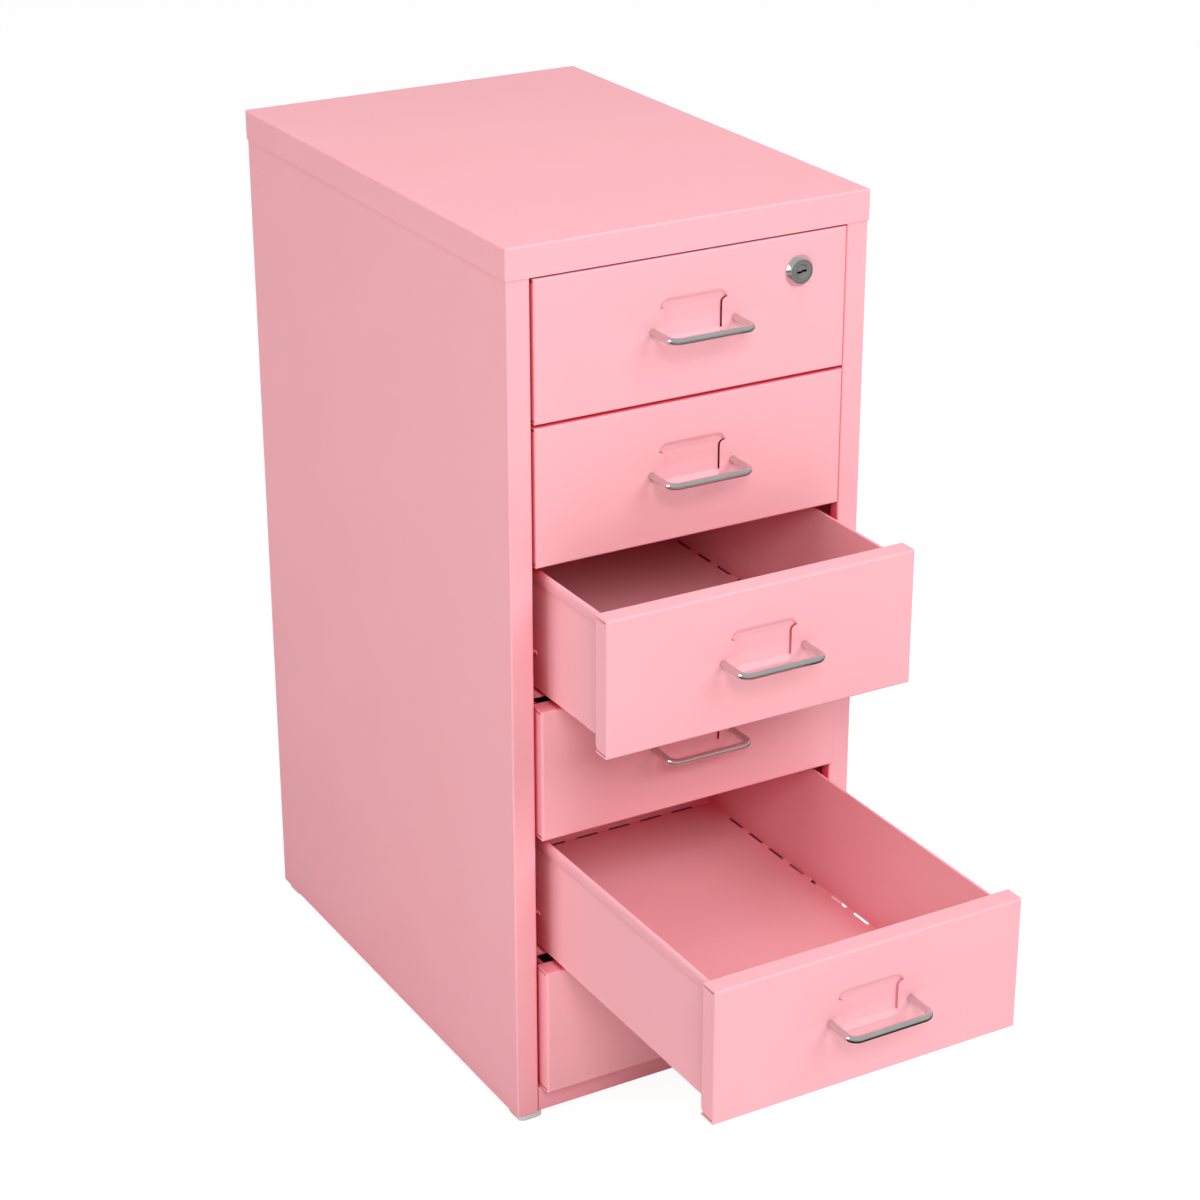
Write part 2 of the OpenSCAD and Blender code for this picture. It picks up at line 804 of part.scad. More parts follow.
// Section of the right guide bracket in x and z: an upturned channel on the tray's side
module guide_section() {
    translate([tray_x, guide_low]) difference() {
        corner_rect(guide_w, guide_top - guide_low, channel_fold_r, [2, 3]);
        translate([sheet_t, -over])
            corner_rect(guide_w - 2 * sheet_t, guide_top - guide_low - sheet_t + over,
                        channel_fold_r - sheet_t, [2, 3]);
    }
    translate([tray_x, guide_seat_low]) square([sheet_t, guide_low - guide_seat_low + over]);
}

// Guide brackets welded to both sides of a tray, at its rear
module guides(i) {
    color(paint) in_drawer(i)
        for (s = sides)
            on_side(s) along_y(guide_y0, guide_y1) guide_section();
}

// ---------- lock ----------

// Moves a piece from the lock's own frame, with +y into the drawer, to the first drawer
module in_lock() {
    in_drawer(1) translate([lock_x, 0, lock_z]) children();
}

// Turns an outline drawn as radius and y about the lock's axis
module turned_y() {
    rotate([-90, 0, 0]) rotate_extrude() children();
}

// Housing: a coned collar on a barrel, bored for the plug
module lock_housing() {
    color(chrome) in_lock() turned_y() difference() {
        union() {
            polygon([[0, -collar_h], [collar_face_r, -collar_h],
                     [collar_r, -collar_edge], [collar_r, 0], [0, 0]]);
            translate([0, -over]) square([barrel_r, barrel_end + over]);
        }
        translate([-over, -collar_h - over])
            square([plug_r + plug_gap + over, barrel_end + collar_h + 2 * over]);
        translate([groove_r, -collar_h - over]) square([groove_w, groove_deep + over]);
    }
}

// Nut that clamps the housing to the front
module lock_nut() {
    color(zinc) in_lock() translate([0, tray_t, 0]) rotate([-90, 0, 0]) difference() {
        cylinder(r = nut_flats / 2 / cos(30), h = nut_t, $fn = 6);
        translate([0, 0, -over]) cylinder(r = barrel_r + barrel_gap, h = nut_t + 2 * over);
    }
}

// Plug: turns in the housing; a keyway in front, a square tail behind for the cam
module lock_plug() {
    half = cam_square / 2 - cam_fit;
    color(chrome) in_lock() difference() {
        union() {
            rod_y([0, 0], plug_r, -collar_h, barrel_end + cam_gap);
            block([-half, barrel_end, -half], [half, cam_y1, half]);
        }
        turned_y() translate([0, -collar_h - over]) square([key_dish_r, over + key_dish_deep]);
        for (s = sides)
            block([(s - 1) * key_l / 4, -collar_h - over, (s * key_step - key_w) / 2],
                  [(s + 1) * key_l / 4, -collar_h + key_deep, (s * key_step + key_w) / 2]);
        rod_y([0, 0], cam_screw_r + screw_gap, cam_y1 - cam_screw_l - bore_spare, cam_y1 + over);
    }
}

// Cam: a flat lever on the plug's tail, lying to the side while the lock is open
module lock_cam() {
    half = cam_square / 2;
    tip_r = cam_w / 2;
    color(zinc) in_lock() translate([0, cam_y1, 0]) rotate([90, 0, 0])
        linear_extrude(cam_t) difference() {
            union() {
                circle(cam_root_r);
                translate([-cam_l + tip_r, -tip_r]) square([cam_l - tip_r, cam_w]);
                translate([-cam_l + tip_r, 0]) circle(tip_r);
            }
            translate([-half, -half]) square(cam_square);
        }
}

// Screw that holds the cam on the plug
module lock_cam_screw() {
    color(zinc) in_lock() translate([0, cam_y1, 0]) rotate([0, 0, 180])
        cross_screw(cam_screw_head_r, cam_screw_head_h, cam_screw_r, cam_screw_l);
}

// ---------- assembly ----------

top_cap();
side_panel_left();
side_panel_right();
back_panel();
base_pan();
lock_strike();
carcass_screws();
foot_front_left();
foot_front_right();
foot_rear_left();
foot_rear_right();
for (i = [1:drawers]) {
    for (k = [0, 1])
        runner(sides[k], i);
    tray(i);
    front(i, i == 1);
    handle(i);
    handle_screws(i);
    guides(i);
}
lock_housing();
lock_nut();
lock_plug();
lock_cam();
lock_cam_screw();
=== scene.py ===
import json
import math

import bpy
import numpy as np
from mathutils import Matrix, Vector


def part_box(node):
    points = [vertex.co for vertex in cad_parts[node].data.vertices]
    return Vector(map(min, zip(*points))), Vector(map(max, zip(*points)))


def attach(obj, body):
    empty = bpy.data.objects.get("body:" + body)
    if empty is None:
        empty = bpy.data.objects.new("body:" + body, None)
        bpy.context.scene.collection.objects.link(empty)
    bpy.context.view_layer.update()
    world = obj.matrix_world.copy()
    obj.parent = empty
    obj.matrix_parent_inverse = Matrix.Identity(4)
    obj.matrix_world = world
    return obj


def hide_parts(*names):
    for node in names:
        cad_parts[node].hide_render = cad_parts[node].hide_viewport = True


bl_info = {
    "name": "Sheet Metal Drawer Cabinet",
    "version": (1, 0, 0),
    "blender": (4, 5, 0),
    "location": "3D View > Sidebar > Cabinet",
    "description": "Dresses a powder-coated drawer cabinet: fronts, hems, handles, lock, screws, "
                   "glides, paint and studio",
    "category": "Add Mesh",
}

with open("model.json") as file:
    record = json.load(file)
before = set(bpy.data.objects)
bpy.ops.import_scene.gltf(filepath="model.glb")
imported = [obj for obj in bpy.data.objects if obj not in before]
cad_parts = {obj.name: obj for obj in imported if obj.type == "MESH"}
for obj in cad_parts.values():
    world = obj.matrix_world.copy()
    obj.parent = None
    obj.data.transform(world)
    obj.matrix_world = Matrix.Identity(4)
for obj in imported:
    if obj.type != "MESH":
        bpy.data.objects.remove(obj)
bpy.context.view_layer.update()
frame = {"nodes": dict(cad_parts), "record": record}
NODES = frame["nodes"]
BODIES = frame["record"]["behaviour"]["bodies"]
DRAWERS = sorted(b for b in BODIES if b.startswith("drawer_"))
MM = 0.001

# ---------------------------------------------------------------------------
# Sizes and colours that a user would change
# ---------------------------------------------------------------------------


def length(name, default_mm, about):
    """A length property whose default is given in millimetres."""
    return bpy.props.FloatProperty(name=name, description=about, default=default_mm * MM,
                                   min=0.0, precision=5, subtype="DISTANCE", unit="LENGTH")


def share(name, default, about):
    """A number from 0 to 1."""
    return bpy.props.FloatProperty(name=name, description=about, default=default,
                                   min=0.0, max=1.0, subtype="FACTOR")


def colour(name, default, about):
    """A linear colour."""
    return bpy.props.FloatVectorProperty(name=name, description=about, default=default,
                                         size=3, min=0.0, max=1.0, subtype="COLOR")


class CabinetFinish(bpy.types.PropertyGroup):
    """Colours and textures of the cabinet's finishes, and the painted shade in the paint's gaps."""
    paint: colour("Paint", (0.92, 0.415, 0.46), "Powder coat on every sheet-metal piece")
    paint_thin: colour("Thin paint", (0.93, 0.445, 0.49), "Powder coat in its paler blotches")
    # Painted shade: the paint's colour in gaps where other surfaces are near, standing in for red
    # light bounced between painted faces.
    painted_gap_shade: colour("Deep paint", (0.93, 0.085, 0.135),
                       "Powder coat in gaps, reddened by its own light")
    # How near another surface has to be for the painted gap shade to show.
    gap_shade_reach: length("Gap", 40.0, "How near another surface has to be to redden the paint")
    paint_rough: share("Paint roughness", 0.42, "Satin powder coat")
    peel_size: length("Orange peel", 1.6, "Distance between the bumps of the powder coat")
    peel_depth: length("Orange peel depth", 0.012, "Height of those bumps")
    chrome: colour("Chrome", (0.72, 0.75, 0.735), "Handles and lock")
    satin: colour("Satin face", (0.66, 0.665, 0.66), "Face of the lock, brushed before plating")
    zinc: colour("Zinc", (0.52, 0.53, 0.55), "Screws, nut and cam")
    plastic: colour("Glide plastic", (0.82, 0.82, 0.79), "Milky moulded plastic")


class FrontSizes(bpy.types.PropertyGroup):
    """Sizes of the folded drawer fronts and their pressed label holders."""
    sheet: length("Sheet", 0.7, "Thickness of the front's sheet")
    fold: length("Fold", 1.5, "Outside radius of the front's folds")
    edge: length("Edge", 15.0, "Depth of the folded edge")
    slit: length("Slit", 0.9, "Opening between two folds at a corner")
    ear: length("Ear", 4.5, "Rounding of a side fold's rear lower corner")
    proud: length("Ledge", 0.8, "How far the label ledge stands proud of the face")
    pocket: length("Pocket width", 44.0, "Between the two tabs")
    pocket_height: length("Pocket height", 24.2, "From the ledge's crest to the top of the tabs")
    notch: length("Notch height", 7.2, "Finger notch above the tabs")
    notch_extra: length("Notch reach", 4.0, "How far the notch reaches past a tab's edge")
    notch_round: length("Notch rounding", 6.0, "Rounding of the notch's upper corners")
    curl: length("Tab curl", 3.2, "Height over which a tab's edge curls outwards to its top")
    recess: length("Recess", 1.9, "Depth of the label pocket")
    ledge_rise: length("Ledge slope", 3.8, "Height of the ledge's upper slope")
    ledge_foot: length("Ledge foot", 3.0, "From the crest down to the plain face")
    crest_flat: length("Crest", 0.8, "Height of the ledge's crest")
    crest_drop: length("Crest drop", 9.0, "From the handle's middle down to the crest")


class HemSizes(bpy.types.PropertyGroup):
    """Sizes of the rolled hem outside the top of a tray's walls."""
    sheet: length("Sheet", 0.7, "Thickness of the tray's sheet")
    space: length("Space", 0.4, "Inside the roll")
    height: length("Height", 10.0, "From the top of the roll to the hem's lower edge")
    bulge: length("Bulge", 0.75, "How much fatter the roll is than the pressed lower edge")
    short: length("Short", 2.0, "How far the hem stops short of a corner")


class HandleSizes(bpy.types.PropertyGroup):
    """Sizes of the bent-rod handles."""
    rod: length("Rod", 5.0, "Diameter of the rod")
    bend: length("Bend", 7.0, "Radius of a bend at the rod's middle")


class LockSizes(bpy.types.PropertyGroup):
    """Sizes of the cam lock."""
    collar: length("Collar", 10.8, "Radius of the collar on the front")
    collar_face: length("Collar face", 8.8, "Radius of the collar's face")
    collar_height: length("Collar height", 3.7, "How far the collar stands out")
    collar_edge: length("Collar edge", 0.9, "Straight part of the collar's rim")
    barrel: length("Barrel", 8.0, "Radius of the threaded barrel")
    barrel_end: length("Barrel end", 15.7, "From the front's face to the barrel's rear end")
    thread: length("Thread", 1.0, "Pitch of the barrel's thread")
    plug: length("Plug", 5.0, "Radius of the turning plug")
    key_length: length("Keyway length", 7.4, "Across the plug's face")
    key_width: length("Keyway width", 1.5, "Of each half of the keyway")
    key_step: length("Keyway step", 0.7, "Between the halves of the keyway")


class GlideSizes(bpy.types.PropertyGroup):
    """Sizes of the snapped-in glides."""
    height: length("Height", 8.0, "Below the body")
    width: length("Width", 19.0, "Across the pad")
    corner: length("Corner", 3.5, "Rounding of the pad's corners")
    chamfer: length("Chamfer", 2.0, "Round the sole")
    stem: length("Stem", 4.0, "Radius of the stem in the base")
    snap: length("Snap", 5.4, "Radius of the snapping head")


GROUPS = {"cabinet_finish": CabinetFinish, "front_sizes": FrontSizes, "hem_sizes": HemSizes,
          "handle_sizes": HandleSizes, "lock_sizes": LockSizes, "glide_sizes": GlideSizes}

# ---------------------------------------------------------------------------
# Meshes from grids of points
# ---------------------------------------------------------------------------


def grid_faces(n, m, wrap_u=False, wrap_v=False, keep=None, first=0):
    """Quads between neighbours of an n by m grid: (i, j), (i+1, j), (i+1, j+1), (i, j+1)."""
    i, j = np.meshgrid(np.arange(n if wrap_u else n - 1), np.arange(m if wrap_v else m - 1),
                       indexing="ij")
    i1, j1 = (i + 1) % n, (j + 1) % m
    quads = np.stack([i * m + j, i1 * m + j, i1 * m + j1, i * m + j1], -1)
    quads = quads[keep] if keep is not None else quads.reshape(-1, 4)
    return quads + first


def surface(name, grids, merge=1e-6, sharp=35.0):
    """One object from several grids, each {"points": (n, m, 3), "wrap": (u, v), "keep": mask}.

    Points that fall together, as at a pole or a seam, are merged and faces without area go.
    """
    points, faces, first = [], [], 0
    for g in grids:
        p = np.asarray(g["points"], float)
        n, m = p.shape[:2]
        wrap = g.get("wrap", (False, False))
        faces.append(grid_faces(n, m, *wrap, g.get("keep"), first))
        points.append(p.reshape(-1, 3))
        first += n * m
    points, faces = np.concatenate(points), np.concatenate(faces)
    key = np.round(points / merge).astype(np.int64)
    _, lead, back = np.unique(key, axis=0, return_index=True, return_inverse=True)
    faces = back.reshape(-1)[faces]
    same = faces == np.roll(faces, 1, axis=1)
    whole = faces[same.sum(1) == 0]
    three = faces[same.sum(1) == 1]
    mask = ~same[same.sum(1) == 1]
    three = three[mask].reshape(-1, 3)
    used, renumber = np.unique(np.concatenate([whole.ravel(), three.ravel()]), return_inverse=True)
    points = points[lead][used]
    whole = renumber[:whole.size].reshape(-1, 4)
    three = renumber[whole.size:].reshape(-1, 3)
    mesh = bpy.data.meshes.new(name)
    mesh.from_pydata(points, [], whole.tolist() + three.tolist())
    mesh.validate()
    mesh.shade_smooth()
    mesh.set_sharp_from_angle(angle=math.radians(sharp))
    obj = bpy.data.objects.new(name, mesh)
    bpy.context.scene.collection.objects.link(obj)
    return obj


def dress(obj, material, body, slot, *nodes):
    """Gives a new piece its material and its body, and hides the nodes that it stands for; slot is
    not used.
    """
    obj.data.materials.clear()
    obj.data.materials.append(material)
    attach(obj, body)
    if nodes:
        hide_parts(*nodes)
    return obj


def tint(obj, material, where):
    """Gives another material to the faces whose middles (x, y, z) where() picks."""
    count = len(obj.data.polygons)
    middles = np.zeros(count * 3)
    obj.data.polygons.foreach_get("center", middles)
    chosen = where(*middles.reshape(-1, 3).T)
    index = np.zeros(count, int)
    obj.data.polygons.foreach_get("material_index", index)
    obj.data.materials.append(material)
    index[chosen] = len(obj.data.materials) - 1
    obj.data.polygons.foreach_set("material_index", index)


def thicken(obj, depth):
    """Gives an open surface, whose faces point outwards, its sheet thickness on the inside."""
    solid = obj.modifiers.new("Sheet", "SOLIDIFY")
    solid.thickness = depth
    solid.offset = -1.0
    solid.use_even_offset = True
    solid.use_quality_normals = True
    return obj


def arc(centre, radius, start, end, steps):
    """Points on an arc in a plane: centre plus radius times (cos, sin) of angles in degrees."""
    a = np.radians(np.linspace(start, end, steps))
    return np.stack([centre[0] + radius * np.cos(a), centre[1] + radius * np.sin(a)], -1)


def turned(profile, about, axis="y", steps=64):
    """Profile (radius, along) turned about an axis through a point: (r cos a, along, r sin a)."""
    r, along = np.asarray(profile, float).T
    a = np.linspace(0, 2 * np.pi, steps, endpoint=False)
    across, up = np.outer(np.cos(a), r), np.outer(np.sin(a), r)
    flat = np.broadcast_to(along, across.shape)
    order = {"y": (across, flat, up), "z": (up, across, flat)}[axis]
    return {"points": np.stack(order, -1) + np.asarray(about), "wrap": (True, False)}


def step(x, width):
    """Smooth rise from 0 to 1 while x goes from 0 to width: 3 t^2 - 2 t^3."""
    t = np.clip(x / width, 0, 1)
    return t * t * (3 - 2 * t)


# ---------------------------------------------------------------------------
# Drawer fronts
# ---------------------------------------------------------------------------

# Within NEAR two places on the front count as one, and within FLUSH a point lies in its face.
NEAR = 1e-7
FLUSH = 1e-9
ARC_STEPS = 6
EAR_STEPS = 9
# Opening beside a tab, and how wide the pressed wall round the notch is.
SLIT_WIDTH = 0.25 * MM
PRESS_WIDTH = 4.0 * MM
LEAST_WALL = 0.02
# How much of its depth the notch has lost at its top.
NOTCH_SHALLOWER = 0.55
LEDGE_FADE = 1.6 * MM
# Beyond the pocket, the width over which the grid's lines go back to their own places.
BAND = 8 * MM


def half_width(z, s, crest):
    """Half the width of the pressed opening at height z: the pocket, then a curl, then the notch.

    Curl: half + extra (1 - sqrt(1 - t^2)) while t goes from 0 to 1 up to the tab's top. The notch's
    upper corners are quarter circles: half = middle + sqrt(r^2 - (z - zc)^2).
    """
    half, wide = s.pocket / 2, s.pocket / 2 + s.notch_extra
    tab = crest + s.pocket_height
    top = tab + s.notch
    centre = top - s.notch_round
    width = half + s.notch_extra * (1 - np.sqrt(1 - np.clip((z - tab + s.curl) / s.curl, 0, 1)**2))
    rise = np.clip(z - centre, 0, s.notch_round)
    width = np.where(z > centre, wide - s.notch_round + np.sqrt(s.notch_round**2 - rise**2), width)
    fade = np.clip((z - top) / BAND, 0, 1)
    end = wide - s.notch_round
    return np.where(z > top, end + (half - end) * fade, width)


def press_depth(x, z, s, crest):
    """How far the face is pressed back at (x, z), and forward, below 0, along the ledge.

    Notch: the recess times a smooth step of the distance inside its outline, which is the least of
    the distances to its sides, its top and its rounded corners. Ledge: a straight slope from the
    pocket's floor to the crest, a narrow flat and a slope back to the face, faded at both ends.
    """
    a = np.abs(x)
    half, wide = s.pocket / 2, s.pocket / 2 + s.notch_extra
    tab = crest + s.pocket_height
    top = tab + s.notch
    floor_z = crest + s.ledge_rise
    width = half_width(z, s, crest)
    centre_x, centre_z = wide - s.notch_round, top - s.notch_round
    corner = s.notch_round - np.hypot(np.maximum(a - centre_x, 0), np.maximum(z - centre_z, 0))
    inside = np.minimum(np.minimum(wide - a, top - z), np.where(
        (a > centre_x) & (z > centre_z), corner, s.pocket))
    wall = PRESS_WIDTH * np.clip((z - tab) / PRESS_WIDTH, LEAST_WALL, 1)
    notch = step(inside, wall) * (1 - NOTCH_SHALLOWER * np.clip((z - tab) / s.notch, 0, 1))
    open_z = (a < width + NEAR) & (z >= floor_z - NEAR)
    depth = s.recess * np.where(open_z, np.where(z > tab, notch, 1.0), 0.0)
    heights = [crest - s.ledge_foot, crest - s.crest_flat, crest, floor_z]
    ledge = np.interp(z, heights, [0, -s.proud, -s.proud, s.recess])
    below = (z < floor_z) & (z > crest - s.ledge_foot)
    return np.where(below, ledge * step(half - a, LEDGE_FADE), depth)


def lines(*spans):
    """Grid lines: spans of (from, to, count), joined without doubles."""
    return np.unique(np.round(np.concatenate([np.linspace(a, b, n) for a, b, n in spans]), 8))


def folded(size, s, face_lines):
    """One direction of a folded pan: positions across it, and how deep the sheet lies there."""
    fold, edge = s.fold, s.edge
    ear = edge - s.ear
    deep = np.concatenate([np.linspace(edge, ear, EAR_STEPS), [fold + s.sheet]])
    bend = np.radians(np.linspace(0, 90, ARC_STEPS + 1))
    low = np.concatenate([np.zeros(deep.size), fold - fold * np.cos(bend)])
    low_deep = np.concatenate([deep, fold - fold * np.sin(bend)])
    inner = face_lines[(face_lines > fold + NEAR) & (face_lines < size - fold - NEAR)]
    across = np.concatenate([low, inner, size - low[::-1]])
    depth = np.concatenate([low_deep, np.zeros(inner.size), low_deep[::-1]])
    return across, depth


def front_grid(width, height, s):
    """The folded front with its lanced and pressed label holder, from y = 0 into the drawer.

    The pan is x = X(u), z = Z(v), y = the deeper of the two fold profiles, so its corners are
    mitred. The slits beside the corners and beside the tabs are cells left out. In the label
    holder the grid's lines are drawn to the opening's outline, and y follows press_depth.
    """
    crest = height / 2 - s.crest_drop
    half = s.pocket / 2
    tab = crest + s.pocket_height
    top = tab + s.notch
    fine_x = lines((0, half - 3 * MM, 16), (half - 3 * MM, half - SLIT_WIDTH, 6), (half, half, 1),
                   (half + 0.1 * MM, half + 5 * MM, 14), (half + 5 * MM, half + BAND, 4),
                   (half + BAND, width / 2 - s.fold, 24))
    fine_x = np.unique(np.concatenate([-fine_x, fine_x]))
    fine_z = lines((s.fold, crest - s.ledge_foot, 14), (crest - s.ledge_foot, crest, 9),
                   (crest, crest + s.ledge_rise, 9), (crest + s.ledge_rise, tab - s.curl, 12),
                   (tab, top - s.notch_round, 10),
                   (top - s.notch_round, top, 12), (top, top + BAND, 5),
                   (top + BAND, height - s.fold, 10),
                   (s.fold + s.slit, s.fold + s.slit + s.ear, EAR_STEPS),
                   (height - s.fold - s.slit, height - s.fold - s.slit, 1))
    curl_z = tab - s.curl + s.curl * np.sin(np.linspace(0, np.pi / 2, 10))
    fine_z = np.unique(np.round(np.concatenate([fine_z, curl_z]), 8))
    x, x_deep = folded(width, s, fine_x + width / 2)
    x = x - width / 2
    z, z_deep = folded(height, s, fine_z)
    X, Z = np.meshgrid(x, z, indexing="ij")
    Y = np.maximum.outer(x_deep, z_deep)
    # the side folds' rear lower corners are rounded: a quarter circle of the ear's radius
    rise = np.clip(Z - s.fold - s.slit, 0, s.ear)
    end = s.edge - s.ear + np.sqrt(np.maximum(s.ear**2 - (s.ear - rise)**2, 0))
    side = (np.abs(X) > width / 2 - NEAR) & (Y > s.edge - s.ear) & (
        Z > s.fold + s.slit - NEAR)
    shortened = s.edge - s.ear + (Y - s.edge + s.ear) * (end - s.edge + s.ear) / s.ear
    Y = np.where(side, shortened, Y)
    # the face: lines drawn to the outline of the pressed opening, and the press itself
    face = (Y < FLUSH) & (np.abs(X) < half + BAND)
    a = np.abs(X)
    outline = half_width(Z, s, crest)
    drawn = np.where(a <= half, a * outline / half,
                     outline + (a - half) * (half + BAND - outline) / BAND)
    inside_slit = np.isclose(a, half - SLIT_WIDTH)
    drawn = np.where(inside_slit, outline - SLIT_WIDTH, drawn)
    warp = face & (Z > crest - s.ledge_foot) & (Z < top + BAND)
    X = np.where(warp, np.sign(X) * drawn, X)
    at_edge = np.isclose(a, half) & (Z < tab)
    Y = np.where(face, press_depth(np.where(at_edge, np.sign(X) * 2 * half, X), Z, s, crest), Y)
    keep = np.ones((x.size - 1, z.size - 1), bool)
    mid_x, mid_z = (a[1:, :-1] + a[:-1, :-1]) / 2, (Z[:-1, 1:] + Z[:-1, :-1]) / 2
    mid_y = (Y[1:, 1:] + Y[:-1, :-1]) / 2
    slit_rows = ((mid_z > s.fold) & (mid_z < s.fold + s.slit)) | (
        (mid_z > height - s.fold - s.slit) & (mid_z < height - s.fold))
    keep &= ~(slit_rows & (mid_y > s.fold + s.sheet) & (mid_x > width / 2 - s.fold))
    keep &= ~((mid_x > half - SLIT_WIDTH) & (mid_x < half) &
              (mid_z > crest + s.ledge_rise) & (mid_z < tab))
    return {"points": np.stack([X, Y, Z], -1), "keep": keep}


# ---------------------------------------------------------------------------
# Hems of the trays
# ---------------------------------------------------------------------------

# How far the roll lies outside the tray's own hem, and how deep its core sinks into it.
HEM_SKIN = 0.06 * MM
HEM_CORE = 0.35 * MM
# Places down the roll, and the share of the bulge that it has there.
HEM_DOWN = np.array([1.0, 1.7, 2.5, 3.4]) * MM
HEM_SHARE = np.array([0.45, 0.85, 1.0, 0.92])
HEM_LOWER_EDGE = 0.1 * MM


def hem_profile(s):
    """Section (out, up) of the rolled hem: the roll, a slope in to the lower edge, and its core.

    Over the top it is an arc of radius sheet + space / 2. Below, out = bulge times HEM_SHARE at
    the places HEM_DOWN, then a straight slope to nothing at the lower edge.
    """
    roll = s.sheet + s.space / 2
    over = arc((-roll, -roll), roll + HEM_SKIN, 90, 30, 8)
    down = np.concatenate([HEM_DOWN, [s.height - HEM_LOWER_EDGE, s.height]])
    out = np.concatenate([HEM_SHARE * s.bulge, [HEM_SKIN, 0]])
    core = [(-HEM_CORE, -s.height), (-HEM_CORE, -roll), (-roll, -HEM_CORE)]
    return np.concatenate([over, np.column_stack([out, -down]), core])


def hem_grids(low, high, s):
    """The hem along both sides and the back of a tray whose box is low to high."""
    out, up = hem_profile(s).T
    fold = s.sheet + s.space
    z = high.z + up
    first, last = low.y + s.short, high.y - fold - s.short
    left, right = low.x + fold + s.short, high.x - fold - s.short
    strips = [[np.column_stack([low.x - out, np.full(z.size, y), z]) for y in (first, last)],
              [np.column_stack([high.x + out, np.full(z.size, y), z]) for y in (last, first)],
              [np.column_stack([np.full(z.size, x), high.y + out, z]) for x in (left, right)]]
    return [{"points": np.stack([np.broadcast_to(a.mean(0), a.shape), a, b,
                                 np.broadcast_to(b.mean(0), b.shape)]), "wrap": (False, True)}
            for a, b in strips]


# ---------------------------------------------------------------------------
# Rods, screws, lock and glides
# ---------------------------------------------------------------------------

# Height of a screw's head, and radius of its shank. The cam's screw has a shank like the
# carcass's screws.
HANDLE_HEAD, HANDLE_SHANK = 2.2 * MM, 1.5 * MM
CARCASS_HEAD, CARCASS_SHANK = 1.8 * MM, 2.0 * MM
CAM_HEAD = 2.4 * MM
# A gap between points that is wider than a head starts a new solid.
SOLID_GAP = 10 * MM
MOST_RUNS = 100
# Recess of a screw, as shares of the head's radius, then how far it goes down its height.
BLADE, BLADE_REACH, BLADE_SOFT, REACH_SOFT = 0.30, 0.62, 0.12, 0.15
RECESS_DEPTH = 0.55
DOME_DROP = 0.35
# Lock: rounding of the rims, the bore, the groove in the collar's face, the thread, the plug's
# dish and keyway, and how far behind the collar's front the satin face reaches.
RIM_ROUNDING = 0.45 * MM
BORE_PLAY, BORE_EDGE, BORE_BEVEL = 0.05 * MM, 0.3 * MM, 0.25 * MM
GROOVE = (1.75 * MM, 1.6 * MM, 1.3 * MM, 1.15 * MM)
GROOVE_DEPTH = 0.35 * MM
THREAD_DEPTH = 0.35 * MM
DISH_DEPTH = 0.35 * MM
KEYWAY_DEPTH, KEYWAY_SOFT = 8 * MM, 0.12 * MM
LOCK_FACE_DEPTH = 0.45 * MM
NUT_CHAMFER = 0.6
CORNER_STEPS = 12
STEM_GRIP = 0.9 * MM


def rod_along(path, radius, sides=32):
    """A round rod along a path in the x-y plane: path + r (n cos a + z sin a), ends closed."""
    path = np.asarray(path, float)
    ahead = np.gradient(path, axis=0)
    ahead /= np.linalg.norm(ahead, axis=1)[:, None]
    out = np.stack([ahead[:, 1], -ahead[:, 0], np.zeros(len(path))], -1)
    a = np.linspace(0, 2 * np.pi, sides, endpoint=False)
    ring = (out[:, None, :] * np.cos(a)[None, :, None]
            + np.array([0, 0, 1.0]) * np.sin(a)[None, :, None])
    body = path[:, None, :] + radius * ring
    ends = [np.broadcast_to(path[k], (sides, 3))[None] for k in (0, -1)]
    return {"points": np.concatenate([ends[0], body, ends[1]]), "wrap": (False, True)}


def cross_head(seat, out, radius, height, shank, shank_length, steps=64):
    """A domed head with a cross recess on a shank along y; out is -1 or +1, where the head faces.

    Height over the seat: h (1 - DOME_DROP (r/R)^2) inside, rounded off at the rim. The recess
    takes away a depth where |x| or |z| is under half a blade, within the blade's length.
    """
    blade, reach = BLADE * radius, BLADE_REACH * radius
    soft, end_soft = BLADE_SOFT * radius, REACH_SOFT * radius
    ring = np.concatenate([np.linspace(0, 0.7, 18), np.linspace(0.74, 1, 8)]) * radius
    a = np.linspace(0, 2 * np.pi, steps, endpoint=False)
    r, turn = np.meshgrid(ring, a, indexing="ij")
    x, z = r * np.cos(turn), r * np.sin(turn)
    t = r / radius
    dome = height * (1 - DOME_DROP * t**2) * np.sqrt(np.maximum(1 - t**8, 0))
    near = np.minimum(np.abs(x), np.abs(z))
    cut = step(blade / 2 + soft - near, soft) * step(reach - r, end_soft)
    top = dome - cut * height * RECESS_DEPTH
    head = np.stack([x, out * top, z], -1)
    rim = np.stack([x[-1], np.zeros(steps), z[-1]], -1)[None]
    inner = rim * np.array([shank / radius, 1, shank / radius])
    foot = inner - np.array([0, out * shank_length, 0])
    tip = np.broadcast_to(foot.mean(axis=1, keepdims=True), foot.shape)
    points = np.concatenate([head, rim, inner, foot, tip]) + np.asarray(seat)
    return {"points": points if out < 0 else points[:, ::-1], "wrap": (False, True)}


def loose_parts(obj):
    """The points of each separate solid of a node, told apart by where they are in x and z."""
    co = np.zeros(len(obj.data.vertices) * 3)
    obj.data.vertices.foreach_get("co", co)
    co = co.reshape(-1, 3)

    def runs(values):
        """Number of the run that each value is in: a gap wider than SOLID_GAP starts the next."""
        order = np.argsort(values)
        label = np.zeros(len(values), int)
        label[order] = np.concatenate([[0], np.cumsum(np.diff(values[order]) > SOLID_GAP)])
        return label
    key = runs(co[:, 0]) * MOST_RUNS + runs(co[:, 2])
    return [co[key == k] for k in np.unique(key)]


